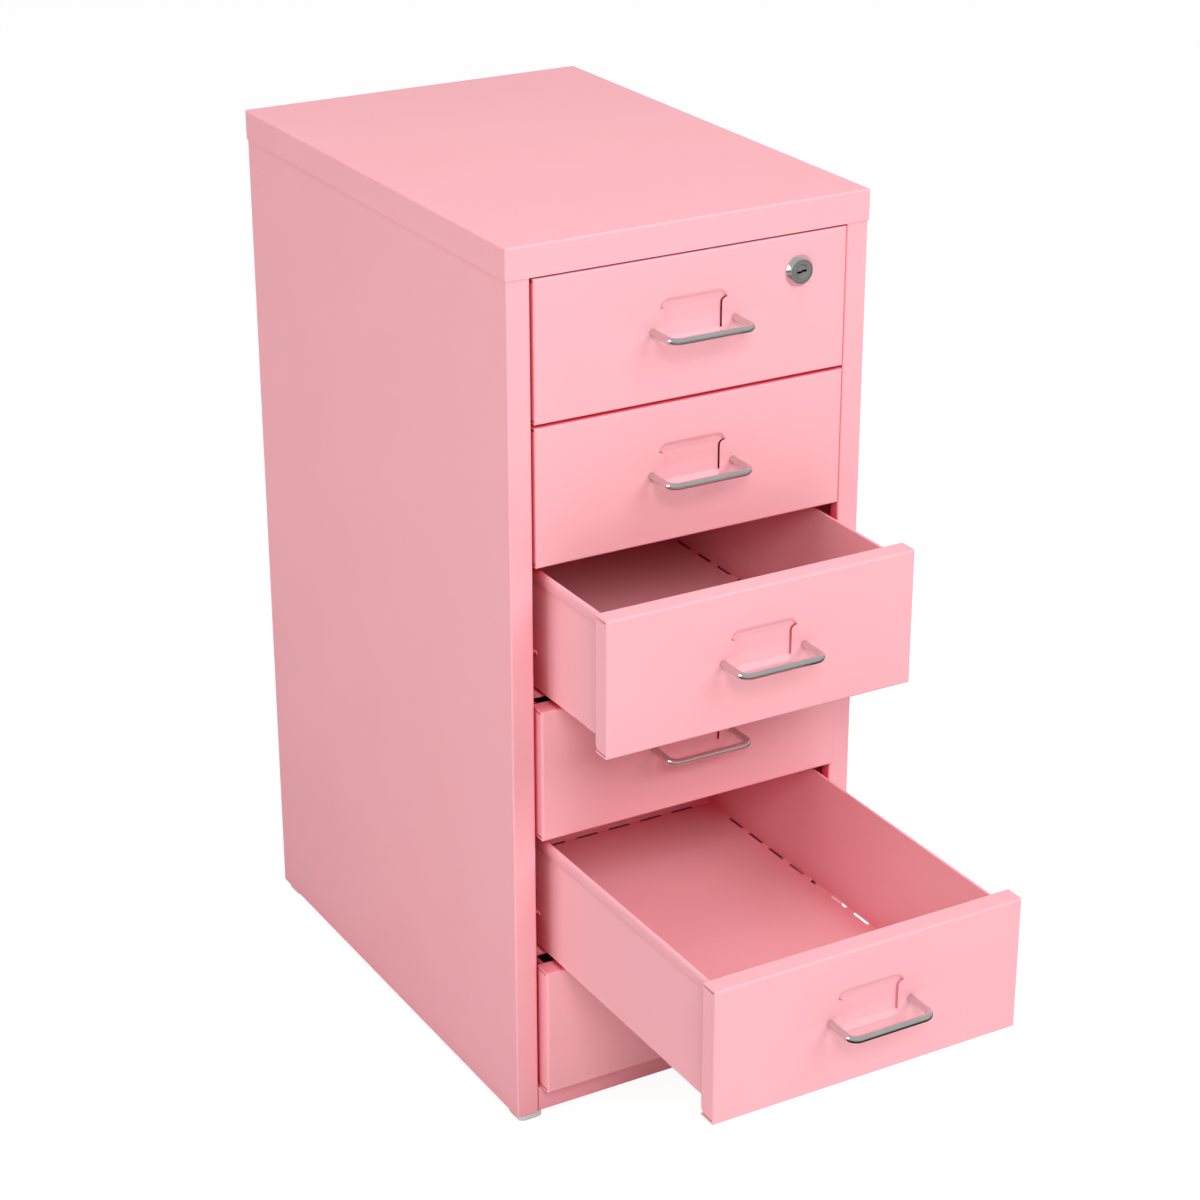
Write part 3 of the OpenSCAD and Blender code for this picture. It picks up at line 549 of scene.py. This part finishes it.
def lock_grids(centre, s):
    """The housing: a turned collar with rounded rims and a ring groove, and a threaded barrel.

    Thread: r = R - depth (0.5 + 0.5 cos(2 pi (y / pitch) - a)), a helix of one start.
    """
    face, rim, rounding = -s.collar_height, s.collar, RIM_ROUNDING
    bore = s.plug + BORE_PLAY
    profile = [(bore, s.barrel_end), (bore, face + BORE_EDGE), (bore + BORE_BEVEL, face)]
    profile += [(s.collar_face - inset, face + sunk)
                for inset, sunk in zip(GROOVE, (0, GROOVE_DEPTH, GROOVE_DEPTH, 0))]
    profile += arc((s.collar_face - rounding, face + rounding), rounding, -90, -25, 5).tolist()
    profile += arc((rim - rounding, -s.collar_edge + rounding), rounding, -25, 0, 4).tolist()
    profile += [(rim, 0), (s.barrel, 0)]
    collar = turned(profile, centre, steps=96)
    y = np.linspace(0, s.barrel_end, 120)
    a = np.linspace(0, 2 * np.pi, 48, endpoint=False)
    A, Y = np.meshgrid(a, y, indexing="ij")
    ends = step(Y - 2 * s.thread, s.thread) * step(s.barrel_end - Y, s.thread)
    r = s.barrel - THREAD_DEPTH * (0.5 + 0.5 * np.cos(2 * np.pi * Y / s.thread - A)) * ends
    barrel = np.stack([r * np.cos(A), Y, r * np.sin(A)], -1) + np.asarray(centre)
    close = turned([(s.barrel, s.barrel_end), (bore, s.barrel_end)], centre, steps=48)
    return [collar, {"points": barrel, "wrap": (True, False)}, close]


def plug_grids(centre, rear, s):
    """The plug's face with a stepped keyway sunk in it, and a round body straight back to rear.

    The keyway is two halves set off by a step; depth follows how far a point is inside either.
    """
    face = -s.collar_height
    ring = np.concatenate([np.linspace(0, 0.86, 40), np.linspace(0.88, 1, 6)]) * s.plug
    a = np.linspace(0, 2 * np.pi, 120, endpoint=False)
    r, turn = np.meshgrid(ring, a, indexing="ij")
    x, z = r * np.cos(turn), r * np.sin(turn)
    reach = s.key_length / 2
    shift = np.where(x > 0, s.key_step / 2, -s.key_step / 2)
    inside = np.minimum(s.key_width / 2 - np.abs(z - shift), reach - np.abs(x))
    dish = DISH_DEPTH * step(0.9 * s.plug - r, DISH_DEPTH)
    y = face + dish + KEYWAY_DEPTH * step(inside, KEYWAY_SOFT)
    top = np.stack([x, y, z], -1)
    side = top[-1:] * np.array([1, 0, 1]) + np.array([0, rear, 0])
    tip = np.broadcast_to(side.mean(axis=1, keepdims=True), side.shape)
    points = np.concatenate([top, side, tip]) + np.asarray(centre)
    return [{"points": points, "wrap": (False, True)}]


def hex_nut(centre, y0, y1, flats, bore, steps=96):
    """A nut with chamfered corners: r = flats/2 / cos(angle from the middle of a flat)."""
    a = np.linspace(0, 2 * np.pi, steps, endpoint=False)
    off = np.mod(a + np.pi / 6, np.pi / 3) - np.pi / 6
    hexagon = flats / 2 / np.cos(off)
    drop = hexagon - flats / 2
    rings = [(np.full(steps, bore), np.full(steps, y1)),
             (np.full(steps, bore), np.full(steps, y0)),
             (np.full(steps, flats / 2), np.full(steps, y0)), (hexagon, y0 + NUT_CHAMFER * drop),
             (hexagon, y1 - NUT_CHAMFER * drop), (np.full(steps, flats / 2), np.full(steps, y1)),
             (np.full(steps, bore), np.full(steps, y1))]
    rings = [np.stack([r * np.cos(a), y, r * np.sin(a)], -1) for r, y in rings]
    return {"points": np.stack(rings) + np.asarray(centre), "wrap": (False, True)}


def rounded_square(half, corner):
    """Outline of a square with round corners, counted anticlockwise: four quarter circles."""
    inner = half - corner
    turns = [arc((cx * inner, cy * inner), corner, start, start + 90, CORNER_STEPS)
             for cx, cy, start in ((1, 1, 0), (-1, 1, 90), (-1, -1, 180), (1, -1, 270))]
    return np.concatenate(turns)


def glide_grids(centre, s):
    """The pad: rounded squares stacked from the chamfered sole up, then a stem and its snap."""
    half = s.width / 2
    soft, around = 0.5 * MM, 4 * CORNER_STEPS
    levels = [(half - s.chamfer - soft, 0.0), (half - s.chamfer, 0.15 * MM),
              (half - 0.3 * MM, s.chamfer - 0.3 * MM), (half, s.chamfer + 0.2 * MM),
              (half, s.height - soft), (half - 0.15 * MM, s.height - 0.15 * MM),
              (half - soft, s.height)]
    rings = [np.column_stack([rounded_square(h, min(s.corner, h)), np.full(around, z)])
             for h, z in levels]
    middle = [np.broadcast_to([0, 0, z], (around, 3)) for z in (0.0, s.height)]
    pad = np.stack([middle[0]] + rings + [middle[1]]) + np.asarray(centre)
    grip = STEM_GRIP  # the base's sheet is held between the pad and the snap
    stem = turned([(0, s.height - grip), (s.stem, s.height - grip), (s.stem, s.height + grip),
                   (s.snap, s.height + grip), (s.snap, s.height + 1.3 * MM),
                   (s.stem, s.height + grip + 2 * MM), (0, s.height + grip + 2 * MM)],
                  centre, axis="z", steps=40)
    return [{"points": pad, "wrap": (False, True)}, stem]


# ---------------------------------------------------------------------------
# Materials
# ---------------------------------------------------------------------------

# Share of open sky at which the painted gap shade is at its strongest, and at which the paint is
# plain.
GAP_CLOSED, GAP_OPEN = 0.10, 0.66
WAVE_DEPTH = 0.6 * MM
# Height up to which the glides are scuffed.
SCUFF_HEIGHT = 3 * MM


def node_group(name, inputs, outputs):
    """An empty shader group with the named inputs (name, default) and outputs."""
    group = bpy.data.node_groups.new(name, "ShaderNodeTree")
    for label, default in inputs:
        socket = group.interface.new_socket(label, in_out="INPUT", socket_type="NodeSocketFloat")
        socket.default_value = default
    for label in outputs:
        group.interface.new_socket(label, in_out="OUTPUT", socket_type="NodeSocketFloat")
    return group, group.nodes.new("NodeGroupInput"), group.nodes.new("NodeGroupOutput")


def feed(tree, node, values):
    """Fills a node's inputs: a socket of another node by a link, anything else as a value."""
    for key, value in values.items():
        if isinstance(value, bpy.types.NodeSocket):
            tree.links.new(value, node.inputs[key])
        else:
            node.inputs[key].default_value = value


def add_node(tree, kind, values=None, **settings):
    """A node with its settings and its inputs."""
    made = tree.nodes.new(kind)
    for key, value in settings.items():
        setattr(made, key, value)
    feed(tree, made, values or {})
    return made


def noise(tree, at, density, detail, roughness):
    """The value of a noise texture at a place; its density is a number or a socket."""
    return add_node(tree, "ShaderNodeTexNoise", {"Vector": at, "Scale": density, "Detail": detail,
                    "Roughness": roughness}).outputs["Fac"]


def spread_gloss(group, source, value):
    """Gloss + (value - 0.5) times Gloss Spread."""
    centred = add_node(group, "ShaderNodeMath", {0: value, 1: 0.5}, operation="SUBTRACT")
    return add_node(group, "ShaderNodeMath", {0: centred.outputs[0],
                    1: source.outputs["Gloss Spread"], 2: source.outputs["Gloss"]},
                    operation="MULTIPLY_ADD").outputs[0]


def powder_group():
    """Powder coat: orange peel from two octaves of noise, slow waves and soft blotches."""
    group, source, sink = node_group(
        "Powder Coat", [("Peel Density", 620.0), ("Wave Density", 9.0), ("Blotch Density", 14.0),
                        ("Gloss", 0.42), ("Gloss Spread", 0.05)],
        ["Height", "Wave", "Roughness", "Blotch"])
    at = group.nodes.new("ShaderNodeTexCoord").outputs["Object"]
    blotch = noise(group, at, source.outputs["Blotch Density"], 3.0, 0.5)
    results = {"Height": noise(group, at, source.outputs["Peel Density"], 2.0, 0.45),
               "Wave": noise(group, at, source.outputs["Wave Density"], 1.0, 0.35),
               "Roughness": spread_gloss(group, source, blotch), "Blotch": blotch}
    for label, value in results.items():
        group.links.new(value, sink.inputs[label])
    return group


def plating_group():
    """Plated metal: fine drawn lines and slow stains."""
    group, source, sink = node_group(
        "Plating", [("Line Density", 900.0), ("Stain Density", 60.0), ("Gloss", 0.12),
                    ("Gloss Spread", 0.08)],
        ["Height", "Roughness", "Stain"])
    at = group.nodes.new("ShaderNodeTexCoord").outputs["Object"]
    squash = add_node(group, "ShaderNodeMapping", {"Vector": at, "Scale": (0.08, 1.0, 1.0)})
    stain = noise(group, at, source.outputs["Stain Density"], 4.0, 0.55)
    results = {"Height": noise(group, squash.outputs[0], source.outputs["Line Density"], 3.0, 0.6),
               "Roughness": spread_gloss(group, source, stain), "Stain": stain}
    for label, value in results.items():
        group.links.new(value, sink.inputs[label])
    return group


def new_material(name):
    """A material with one Principled BSDF on its output; returns it, its tree and the shader."""
    material = bpy.data.materials.new(name)
    material.use_nodes = True
    tree = material.node_tree
    return material, tree, tree.nodes["Principled BSDF"]


def use_group(tree, group, **values):
    """Places a group, with its own values, in a material."""
    made = tree.nodes.new("ShaderNodeGroup")
    made.node_tree = group
    for key, value in values.items():
        made.inputs[key.replace("_", " ")].default_value = value
    return made


def blend_colours(tree, fac, a, b):
    """A colour between a and b, each a colour or a node's socket."""
    mix = tree.nodes.new("ShaderNodeMix")
    mix.data_type = "RGBA"
    tree.links.new(fac, mix.inputs["Factor"])
    for key, value in (("A", a), ("B", b)):
        if isinstance(value, bpy.types.NodeSocket):
            tree.links.new(value, mix.inputs[key])
        else:
            mix.inputs[key].default_value = (*value, 1)
    return mix.outputs["Result"]


def powder_paint(name, finish, group):
    """Satin powder coat with orange peel, slow sheet waves and faint blotches, and painted shade:
    deep red in gaps, where an ambient occlusion node finds other surfaces near.
    """
    material, tree, shader = new_material(name)
    coat = use_group(tree, group, Peel_Density=1 / finish.peel_size, Gloss=finish.paint_rough)
    open_paint = blend_colours(tree, coat.outputs["Blotch"], finish.paint, finish.paint_thin)
    # Painted shade: an ambient occlusion node turns the paint deep red where other surfaces are
    # near.
    near = add_node(tree, "ShaderNodeAmbientOcclusion", {"Distance": finish.gap_shade_reach}, samples=6)
    openness = add_node(tree, "ShaderNodeMapRange", {"Value": near.outputs["AO"],
                        "From Min": GAP_CLOSED, "From Max": GAP_OPEN})
    base = blend_colours(tree, openness.outputs[0], finish.painted_gap_shade, open_paint)
    slow = add_node(tree, "ShaderNodeBump", {"Height": coat.outputs["Wave"], "Strength": 1.0,
                    "Distance": WAVE_DEPTH})
    fine = add_node(tree, "ShaderNodeBump", {"Height": coat.outputs["Height"], "Strength": 1.0,
                    "Distance": finish.peel_depth, "Normal": slow.outputs[0]})
    feed(tree, shader, {"Base Color": base, "Roughness": coat.outputs["Roughness"],
                        "Specular IOR Level": 0.3, "Normal": fine.outputs[0]})
    return material


def plated_metal(name, base, group, gloss, spread, bump, stain_to=0.82):
    """Full metal, from bright chrome to the near-black painted shade in the keyway, with drawn
    lines and faint stains.
    """
    material, tree, shader = new_material(name)
    plate = use_group(tree, group, Gloss=gloss, Gloss_Spread=spread)
    darker = [c * stain_to for c in base]
    lines_bump = add_node(tree, "ShaderNodeBump", {"Height": plate.outputs["Height"],
                          "Strength": 1.0, "Distance": bump})
    feed(tree, shader, {"Base Color": blend_colours(tree, plate.outputs["Stain"], base, darker),
                        "Roughness": plate.outputs["Roughness"], "Metallic": 1.0,
                        "Normal": lines_bump.outputs[0]})
    return material


def milky_plastic(name, base):
    """Moulded glide plastic: milky, with a fine moulded texture and scuffs towards the sole."""
    material, tree, shader = new_material(name)
    at = tree.nodes.new("ShaderNodeTexCoord").outputs["Object"]
    grain = noise(tree, at, 700.0, 3.0, 0.5)
    height = add_node(tree, "ShaderNodeSeparateXYZ", {0: at})
    scuff = add_node(tree, "ShaderNodeMapRange", {"Value": height.outputs["Z"], "From Min": 0.0,
                     "From Max": SCUFF_HEIGHT, "To Min": 0.6, "To Max": 0.0})
    worn = add_node(tree, "ShaderNodeMath", {0: scuff.outputs[0], 1: grain},
                    operation="MULTIPLY")
    colour_seen = blend_colours(tree, worn.outputs[0], base, [c * 0.6 for c in base])
    rough = add_node(tree, "ShaderNodeMapRange", {"Value": grain, "To Min": 0.22,
                     "To Max": 0.42})
    bump = add_node(tree, "ShaderNodeBump", {"Height": grain, "Distance": 0.02 * MM})
    feed(tree, shader, {"Base Color": colour_seen, "Roughness": rough.outputs[0],
                        "Subsurface Weight": 0.6, "Subsurface Radius": (1.0, 0.9, 0.8),
                        "Subsurface Scale": 4 * MM, "Normal": bump.outputs[0]})
    return material


def material(name):
    """The finished material of that name, made the first time that it is asked for."""
    if name in bpy.data.materials:
        return bpy.data.materials[name]
    finish = bpy.context.scene.cabinet_finish
    powder = bpy.data.node_groups.get("Powder Coat") or powder_group()
    plating = bpy.data.node_groups.get("Plating") or plating_group()
    chrome, satin, zinc = (tuple(c) for c in (finish.chrome, finish.satin, finish.zinc))
    makers = {
        "Pink Powder Coat": lambda: powder_paint(name, finish, powder),
        "Handle Chrome": lambda: plated_metal(name, chrome, plating, 0.10, 0.10, 0.004 * MM),
        "Lock Chrome": lambda: plated_metal(name, chrome, plating, 0.12, 0.10, 0.004 * MM),
        "Lock Face": lambda: plated_metal(name, satin, plating, 0.42, 0.12, 0.008 * MM),
        # Painted shade: near-black metal for the shade deep in the keyway.
        "Keyway Painted Shade": lambda: plated_metal(name, (0.012,) * 3, plating, 0.60, 0.10, 0.004 * MM),
        "Zinc Plate": lambda: plated_metal(name, zinc, plating, 0.34, 0.2, 0.01 * MM, 0.7),
        "Glide Plastic": lambda: milky_plastic(name, tuple(finish.plastic)),
    }
    return makers[name]()


# ---------------------------------------------------------------------------
# Operators: one for each piece or group of like pieces, and one for the stage
# ---------------------------------------------------------------------------


class CABINET_OT_sheet_metal(bpy.types.Operator):
    """Paint the carcass, runners, trays and guides, and plate the cam; all keep their shapes"""
    bl_idname = "cabinet.sheet_metal"
    bl_label = "Painted Sheet Metal"

    def execute(self, context):
        paint, zinc = material("Pink Powder Coat"), material("Zinc Plate")
        for name, obj in NODES.items():
            obj.data.materials.clear()
            obj.data.materials.append(zinc if name == "lock_cam" else paint)
        return {"FINISHED"}


class CABINET_OT_drawer_fronts(bpy.types.Operator):
    """Build the folded drawer fronts with their pressed label holders"""
    bl_idname = "cabinet.drawer_fronts"
    bl_label = "Drawer Fronts"

    def execute(self, context):
        s = context.scene.front_sizes
        for body in DRAWERS:
            low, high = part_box(f"{body}_front")
            grid = front_grid(high.x - low.x, high.z - low.z, s)
            grid["points"] += np.array([(low.x + high.x) / 2, low.y + s.proud, low.z])
            front = thicken(surface(f"{body}_folded_front", [grid]), s.sheet)
            dress(front, material("Pink Powder Coat"), body, "drawer_paint", f"{body}_front")
        return {"FINISHED"}


class CABINET_OT_hems(bpy.types.Operator):
    """Build rolled hems that lie over the trays' folded ones and sink a little into them"""
    bl_idname = "cabinet.hems"
    bl_label = "Tray Hems"

    def execute(self, context):
        s = context.scene.hem_sizes
        for body in DRAWERS:
            hem = surface(f"{body}_rolled_hem", hem_grids(*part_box(f"{body}_tray"), s), sharp=50)
            dress(hem, material("Pink Powder Coat"), body, "drawer_paint")
        return {"FINISHED"}


class CABINET_OT_handles(bpy.types.Operator):
    """Build the bent-rod handles"""
    bl_idname = "cabinet.handles"
    bl_label = "Handles"

    def execute(self, context):
        s = context.scene.handle_sizes
        for body in DRAWERS:
            low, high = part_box(f"{body}_handle")
            r = s.rod / 2
            left, right, bar = low.x + r, high.x - r, low.y + r
            legs = np.linspace(high.y, bar + s.bend, 12)
            path = np.concatenate([
                np.column_stack([np.full(12, left), legs]),
                arc((left + s.bend, bar + s.bend), s.bend, 180, 270, 18)[1:],
                np.column_stack([np.linspace(left + s.bend, right - s.bend, 16)[1:],
                                 np.full(15, bar)]),
                arc((right - s.bend, bar + s.bend), s.bend, 270, 360, 18)[1:],
                np.column_stack([np.full(11, right), legs[::-1][1:]])])
            path = np.column_stack([path, np.full(len(path), (low.z + high.z) / 2)])
            rod = surface(f"{body}_bent_rod", [rod_along(path, r)])
            dress(rod, material("Handle Chrome"), body, "chromed_rod", f"{body}_handle")
        return {"FINISHED"}


class CABINET_OT_screws(bpy.types.Operator):
    """Build the screws of the handles, the carcass and the cam"""
    bl_idname = "cabinet.screws"
    bl_label = "Screws"

    def execute(self, context):
        zinc = material("Zinc Plate")
        for body in DRAWERS:
            low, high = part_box(f"{body}_handle_screws")
            radius, middle = (high.z - low.z) / 2, (high.z + low.z) / 2
            seat = high.y - HANDLE_HEAD
            heads = [cross_head((x, seat, middle), 1, radius, HANDLE_HEAD, HANDLE_SHANK,
                                seat - low.y) for x in (low.x + radius, high.x - radius)]
            dress(surface(f"{body}_pan_screws", heads), zinc, body, "zinc_steel",
                  f"{body}_handle_screws")
        heads = []
        for part in loose_parts(NODES["carcass_screws"]):
            low, high = part.min(0), part.max(0)
            radius, x, z = (high[2] - low[2]) / 2, (low[0] + high[0]) / 2, (low[2] + high[2]) / 2
            heads.append(cross_head((x, high[1] - CARCASS_HEAD, z), 1, radius, CARCASS_HEAD,
                                    CARCASS_SHANK, high[1] - CARCASS_HEAD - low[1]))
        dress(surface("carcass_pan_screws", heads), zinc, "cabinet", "zinc_steel", "carcass_screws")
        low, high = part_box("lock_cam_screw")
        radius = (high.x - low.x) / 2
        seat = (high.x + low.x) / 2, high.y - CAM_HEAD, (high.z + low.z) / 2
        head = cross_head(seat, 1, radius, CAM_HEAD, CARCASS_SHANK, seat[1] - low.y)
        dress(surface("cam_pan_screw", [head]), zinc, "lock_core", "zinc_steel", "lock_cam_screw")
        return {"FINISHED"}


class CABINET_OT_lock(bpy.types.Operator):
    """Build the lock's housing, nut and plug; the flat cam keeps its construction shape"""
    bl_idname = "cabinet.lock"
    bl_label = "Cam Lock"

    def execute(self, context):
        s = context.scene.lock_sizes
        low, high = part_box("lock_housing")
        centre = np.array([(low.x + high.x) / 2, low.y + s.collar_height, (low.z + high.z) / 2])
        chrome, satin = material("Lock Chrome"), material("Lock Face")
        face_y = low.y + LOCK_FACE_DEPTH
        housing = surface("lock_collar_and_barrel", lock_grids(centre, s))
        dress(housing, chrome, "drawer_1", "lock_chrome", "lock_housing")
        tint(housing, satin, lambda x, y, z: y < face_y)
        low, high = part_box("lock_nut")
        nut = hex_nut(centre * np.array([1, 0, 1]), low.y, high.y, high.z - low.z, s.barrel)
        dress(surface("lock_hex_nut", [nut], sharp=25), material("Zinc Plate"), "drawer_1",
              "zinc_steel", "lock_nut")
        low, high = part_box("lock_plug")
        plug = surface("lock_key_plug", plug_grids(centre, high.y - centre[1], s))
        dress(plug, satin, "lock_core", "lock_chrome", "lock_plug")
        # The keyway's sunk faces, and the plug's hidden rear end, get the near-black painted shade.
        tint(plug, material("Keyway Painted Shade"), lambda x, y, z: (y > face_y + LOCK_FACE_DEPTH) & (
            np.hypot(x - centre[0], z - centre[2]) < s.plug - LOCK_FACE_DEPTH))
        return {"FINISHED"}


class CABINET_OT_glides(bpy.types.Operator):
    """Build the four plastic glides"""
    bl_idname = "cabinet.glides"
    bl_label = "Glides"

    def execute(self, context):
        s = context.scene.glide_sizes
        for name in [n for n in NODES if n.startswith("foot_")]:
            low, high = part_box(name)
            centre = ((low.x + high.x) / 2, (low.y + high.y) / 2, low.z)
            pad = surface(f"{name}_glide", glide_grids(centre, s), sharp=50)
            dress(pad, material("Glide Plastic"), "cabinet", "glide_plastic", name)
        return {"FINISHED"}


# Place of the camera; its turn about z, its tilt down and its roll in radians; its lens and its
# sensor's width in mm, and how far it sees in metres.
CAMERA_AT = (-0.97285, -1.64997, 1.19613)
CAMERA_TURN, CAMERA_TILT, CAMERA_ROLL = 0.52015, 0.41305, -0.00102
CAMERA_LENS, CAMERA_SENSOR, CAMERA_REACH = 87.76, 36.0, 50
# Brightness of the room as light, in reflections, and behind everything.
ROOM_LIGHT, ROOM_SEEN_IN_GLOSS, ROOM_BACKDROP = 0.12, 0.55, 0.96
# The floor's white for bounced light, its colour and its glow for the camera, and its colour in
# reflections (distance from the middle, colour) near by and far off; darker near by, a painted
# shade for the cabinet's shadow on the floor as the chrome reflects it.
FLOOR_WHITE, FLOOR_SEEN, FLOOR_GLOW = 0.90, 0.15, 0.93
FLOOR_ROUGH, FLOOR_SPECULAR = 0.8, 0.1
FLOOR_RINGS, FLOOR_SIDES = (0, 2, 14), 64
FLOOR_GLOSS_SHADE_NEAR, FLOOR_GLOSS_FAR = (0.45, 0.02), (1.3, 0.36)
# Each lamp's name, place, diameter and power, where they aim, and which show in reflections.
LAMPS = (("front_left", (-1.2, -3.0, 2.6), 1.6, 71.0),
         ("front_right", (1.4, -2.6, 2.6), 2.2, 61.0),
         ("overhead", (0.0, -0.3, 3.0), 2.0, 28.0),
         ("left", (-2.6, 0.3, 1.3), 2.0, 27.0))
LAMP_AIM = (0, -0.1, 0.35)
SEEN_IN_GLOSS = ("left",)


class CABINET_OT_stage(bpy.types.Operator):
    """Set up the pale floor, the soft studio lights and the camera"""
    bl_idname = "cabinet.stage"
    bl_label = "Studio"

    def execute(self, context):
        scene = context.scene
        view = bpy.data.cameras.new("photo_view")
        view.lens, view.sensor_width = CAMERA_LENS, CAMERA_SENSOR
        view.clip_end = CAMERA_REACH
        camera = bpy.data.objects.new("photo_view", view)
        camera.location = CAMERA_AT
        turn = Matrix.Rotation(-CAMERA_TURN, 3, "Z") @ Matrix.Rotation(
            math.pi / 2 - CAMERA_TILT, 3, "X") @ Matrix.Rotation(CAMERA_ROLL, 3, "Z")
        camera.rotation_euler = turn.to_euler()
        scene.collection.objects.link(camera)
        scene.camera = camera
        rings = [(radius, 0) for radius in FLOOR_RINGS]
        floor = surface("studio_floor", [turned(rings, (0, 0, 0), "z", FLOOR_SIDES)])
        pale, tree, shader = new_material("Studio White")
        ray = tree.nodes.new("ShaderNodeLightPath").outputs
        at = tree.nodes.new("ShaderNodeTexCoord").outputs["Object"]
        # Painted shade in reflections: the floor that glossy rays see darkens towards the middle,
        # where the cabinet would shade it.
        away = add_node(tree, "ShaderNodeVectorMath", {0: at}, operation="LENGTH")
        far = add_node(tree, "ShaderNodeMapRange", {"Value": away.outputs["Value"],
                       "From Min": FLOOR_GLOSS_SHADE_NEAR[0], "From Max": FLOOR_GLOSS_FAR[0]})
        reflected_floor_with_painted_shade = blend_colours(tree, far.outputs[0], (FLOOR_GLOSS_SHADE_NEAR[1],) * 3,
                                 (FLOOR_GLOSS_FAR[1],) * 3)
        seen = blend_colours(tree, ray["Is Glossy Ray"], (FLOOR_WHITE,) * 3, reflected_floor_with_painted_shade)
        seen = blend_colours(tree, ray["Is Camera Ray"], seen, (FLOOR_SEEN,) * 3)
        glow = blend_colours(tree, ray["Is Camera Ray"], (0.0,) * 3, (FLOOR_GLOW,) * 3)
        feed(tree, shader, {"Base Color": seen, "Emission Color": glow, "Emission Strength": 1.0,
                            "Roughness": FLOOR_ROUGH, "Specular IOR Level": FLOOR_SPECULAR})
        floor.data.materials.append(pale)
        world = bpy.data.worlds.new("studio")
        scene.world = world
        world.use_nodes = True
        tree = world.node_tree
        ray = tree.nodes.new("ShaderNodeLightPath").outputs
        room = blend_colours(tree, ray["Is Glossy Ray"], (ROOM_LIGHT,) * 3,
                             (ROOM_SEEN_IN_GLOSS,) * 3)
        room = blend_colours(tree, ray["Is Camera Ray"], room, (ROOM_BACKDROP,) * 3)
        tree.links.new(room, tree.nodes["Background"].inputs["Color"])
        for name, where, size, power in LAMPS:
            lamp = bpy.data.lights.new(f"studio_{name}", "AREA")
            lamp.shape, lamp.size, lamp.energy = "DISK", size, power
            holder = bpy.data.objects.new(f"studio_{name}", lamp)
            holder.location = where
            aim = np.array(LAMP_AIM) - np.array(where)
            holder.visible_glossy = name in SEEN_IN_GLOSS
            holder.rotation_euler = (math.atan2(np.hypot(aim[0], aim[1]), -aim[2]), 0,
                                     math.atan2(aim[1], aim[0]) - math.pi / 2)
            scene.collection.objects.link(holder)
        scene.view_settings.view_transform = "Standard"
        scene.view_settings.look = "None"
        return {"FINISHED"}


class CABINET_PT_panel(bpy.types.Panel):
    """Lists the cabinet's pieces and sizes in the sidebar"""
    bl_idname = "CABINET_PT_panel"
    bl_label = "Drawer Cabinet"
    bl_space_type = "VIEW_3D"
    bl_region_type = "UI"
    bl_category = "Cabinet"

    def draw(self, context):
        for operator in OPERATORS:
            self.layout.operator(operator.bl_idname)
        for name, group in GROUPS.items():
            box = self.layout.box()
            box.label(text=name.replace("_", " ").title())
            for key in group.__annotations__:
                box.prop(getattr(context.scene, name), key)


OPERATORS = (CABINET_OT_sheet_metal, CABINET_OT_drawer_fronts, CABINET_OT_hems, CABINET_OT_handles,
             CABINET_OT_screws, CABINET_OT_lock, CABINET_OT_glides, CABINET_OT_stage)


def register():
    """Registers the classes and hangs the sizes on the scene."""
    for cls in (*GROUPS.values(), *OPERATORS, CABINET_PT_panel):
        bpy.utils.register_class(cls)
    for name, cls in GROUPS.items():
        setattr(bpy.types.Scene, name, bpy.props.PointerProperty(type=cls))


def unregister():
    """Takes the sizes off the scene and unregisters the classes."""
    for name in GROUPS:
        delattr(bpy.types.Scene, name)
    for cls in reversed((*GROUPS.values(), *OPERATORS, CABINET_PT_panel)):
        bpy.utils.unregister_class(cls)


def main():
    register()
    for operator in OPERATORS:
        area, name = operator.bl_idname.split(".")
        getattr(getattr(bpy.ops, area), name)()


if __name__ == "__main__":
    main()
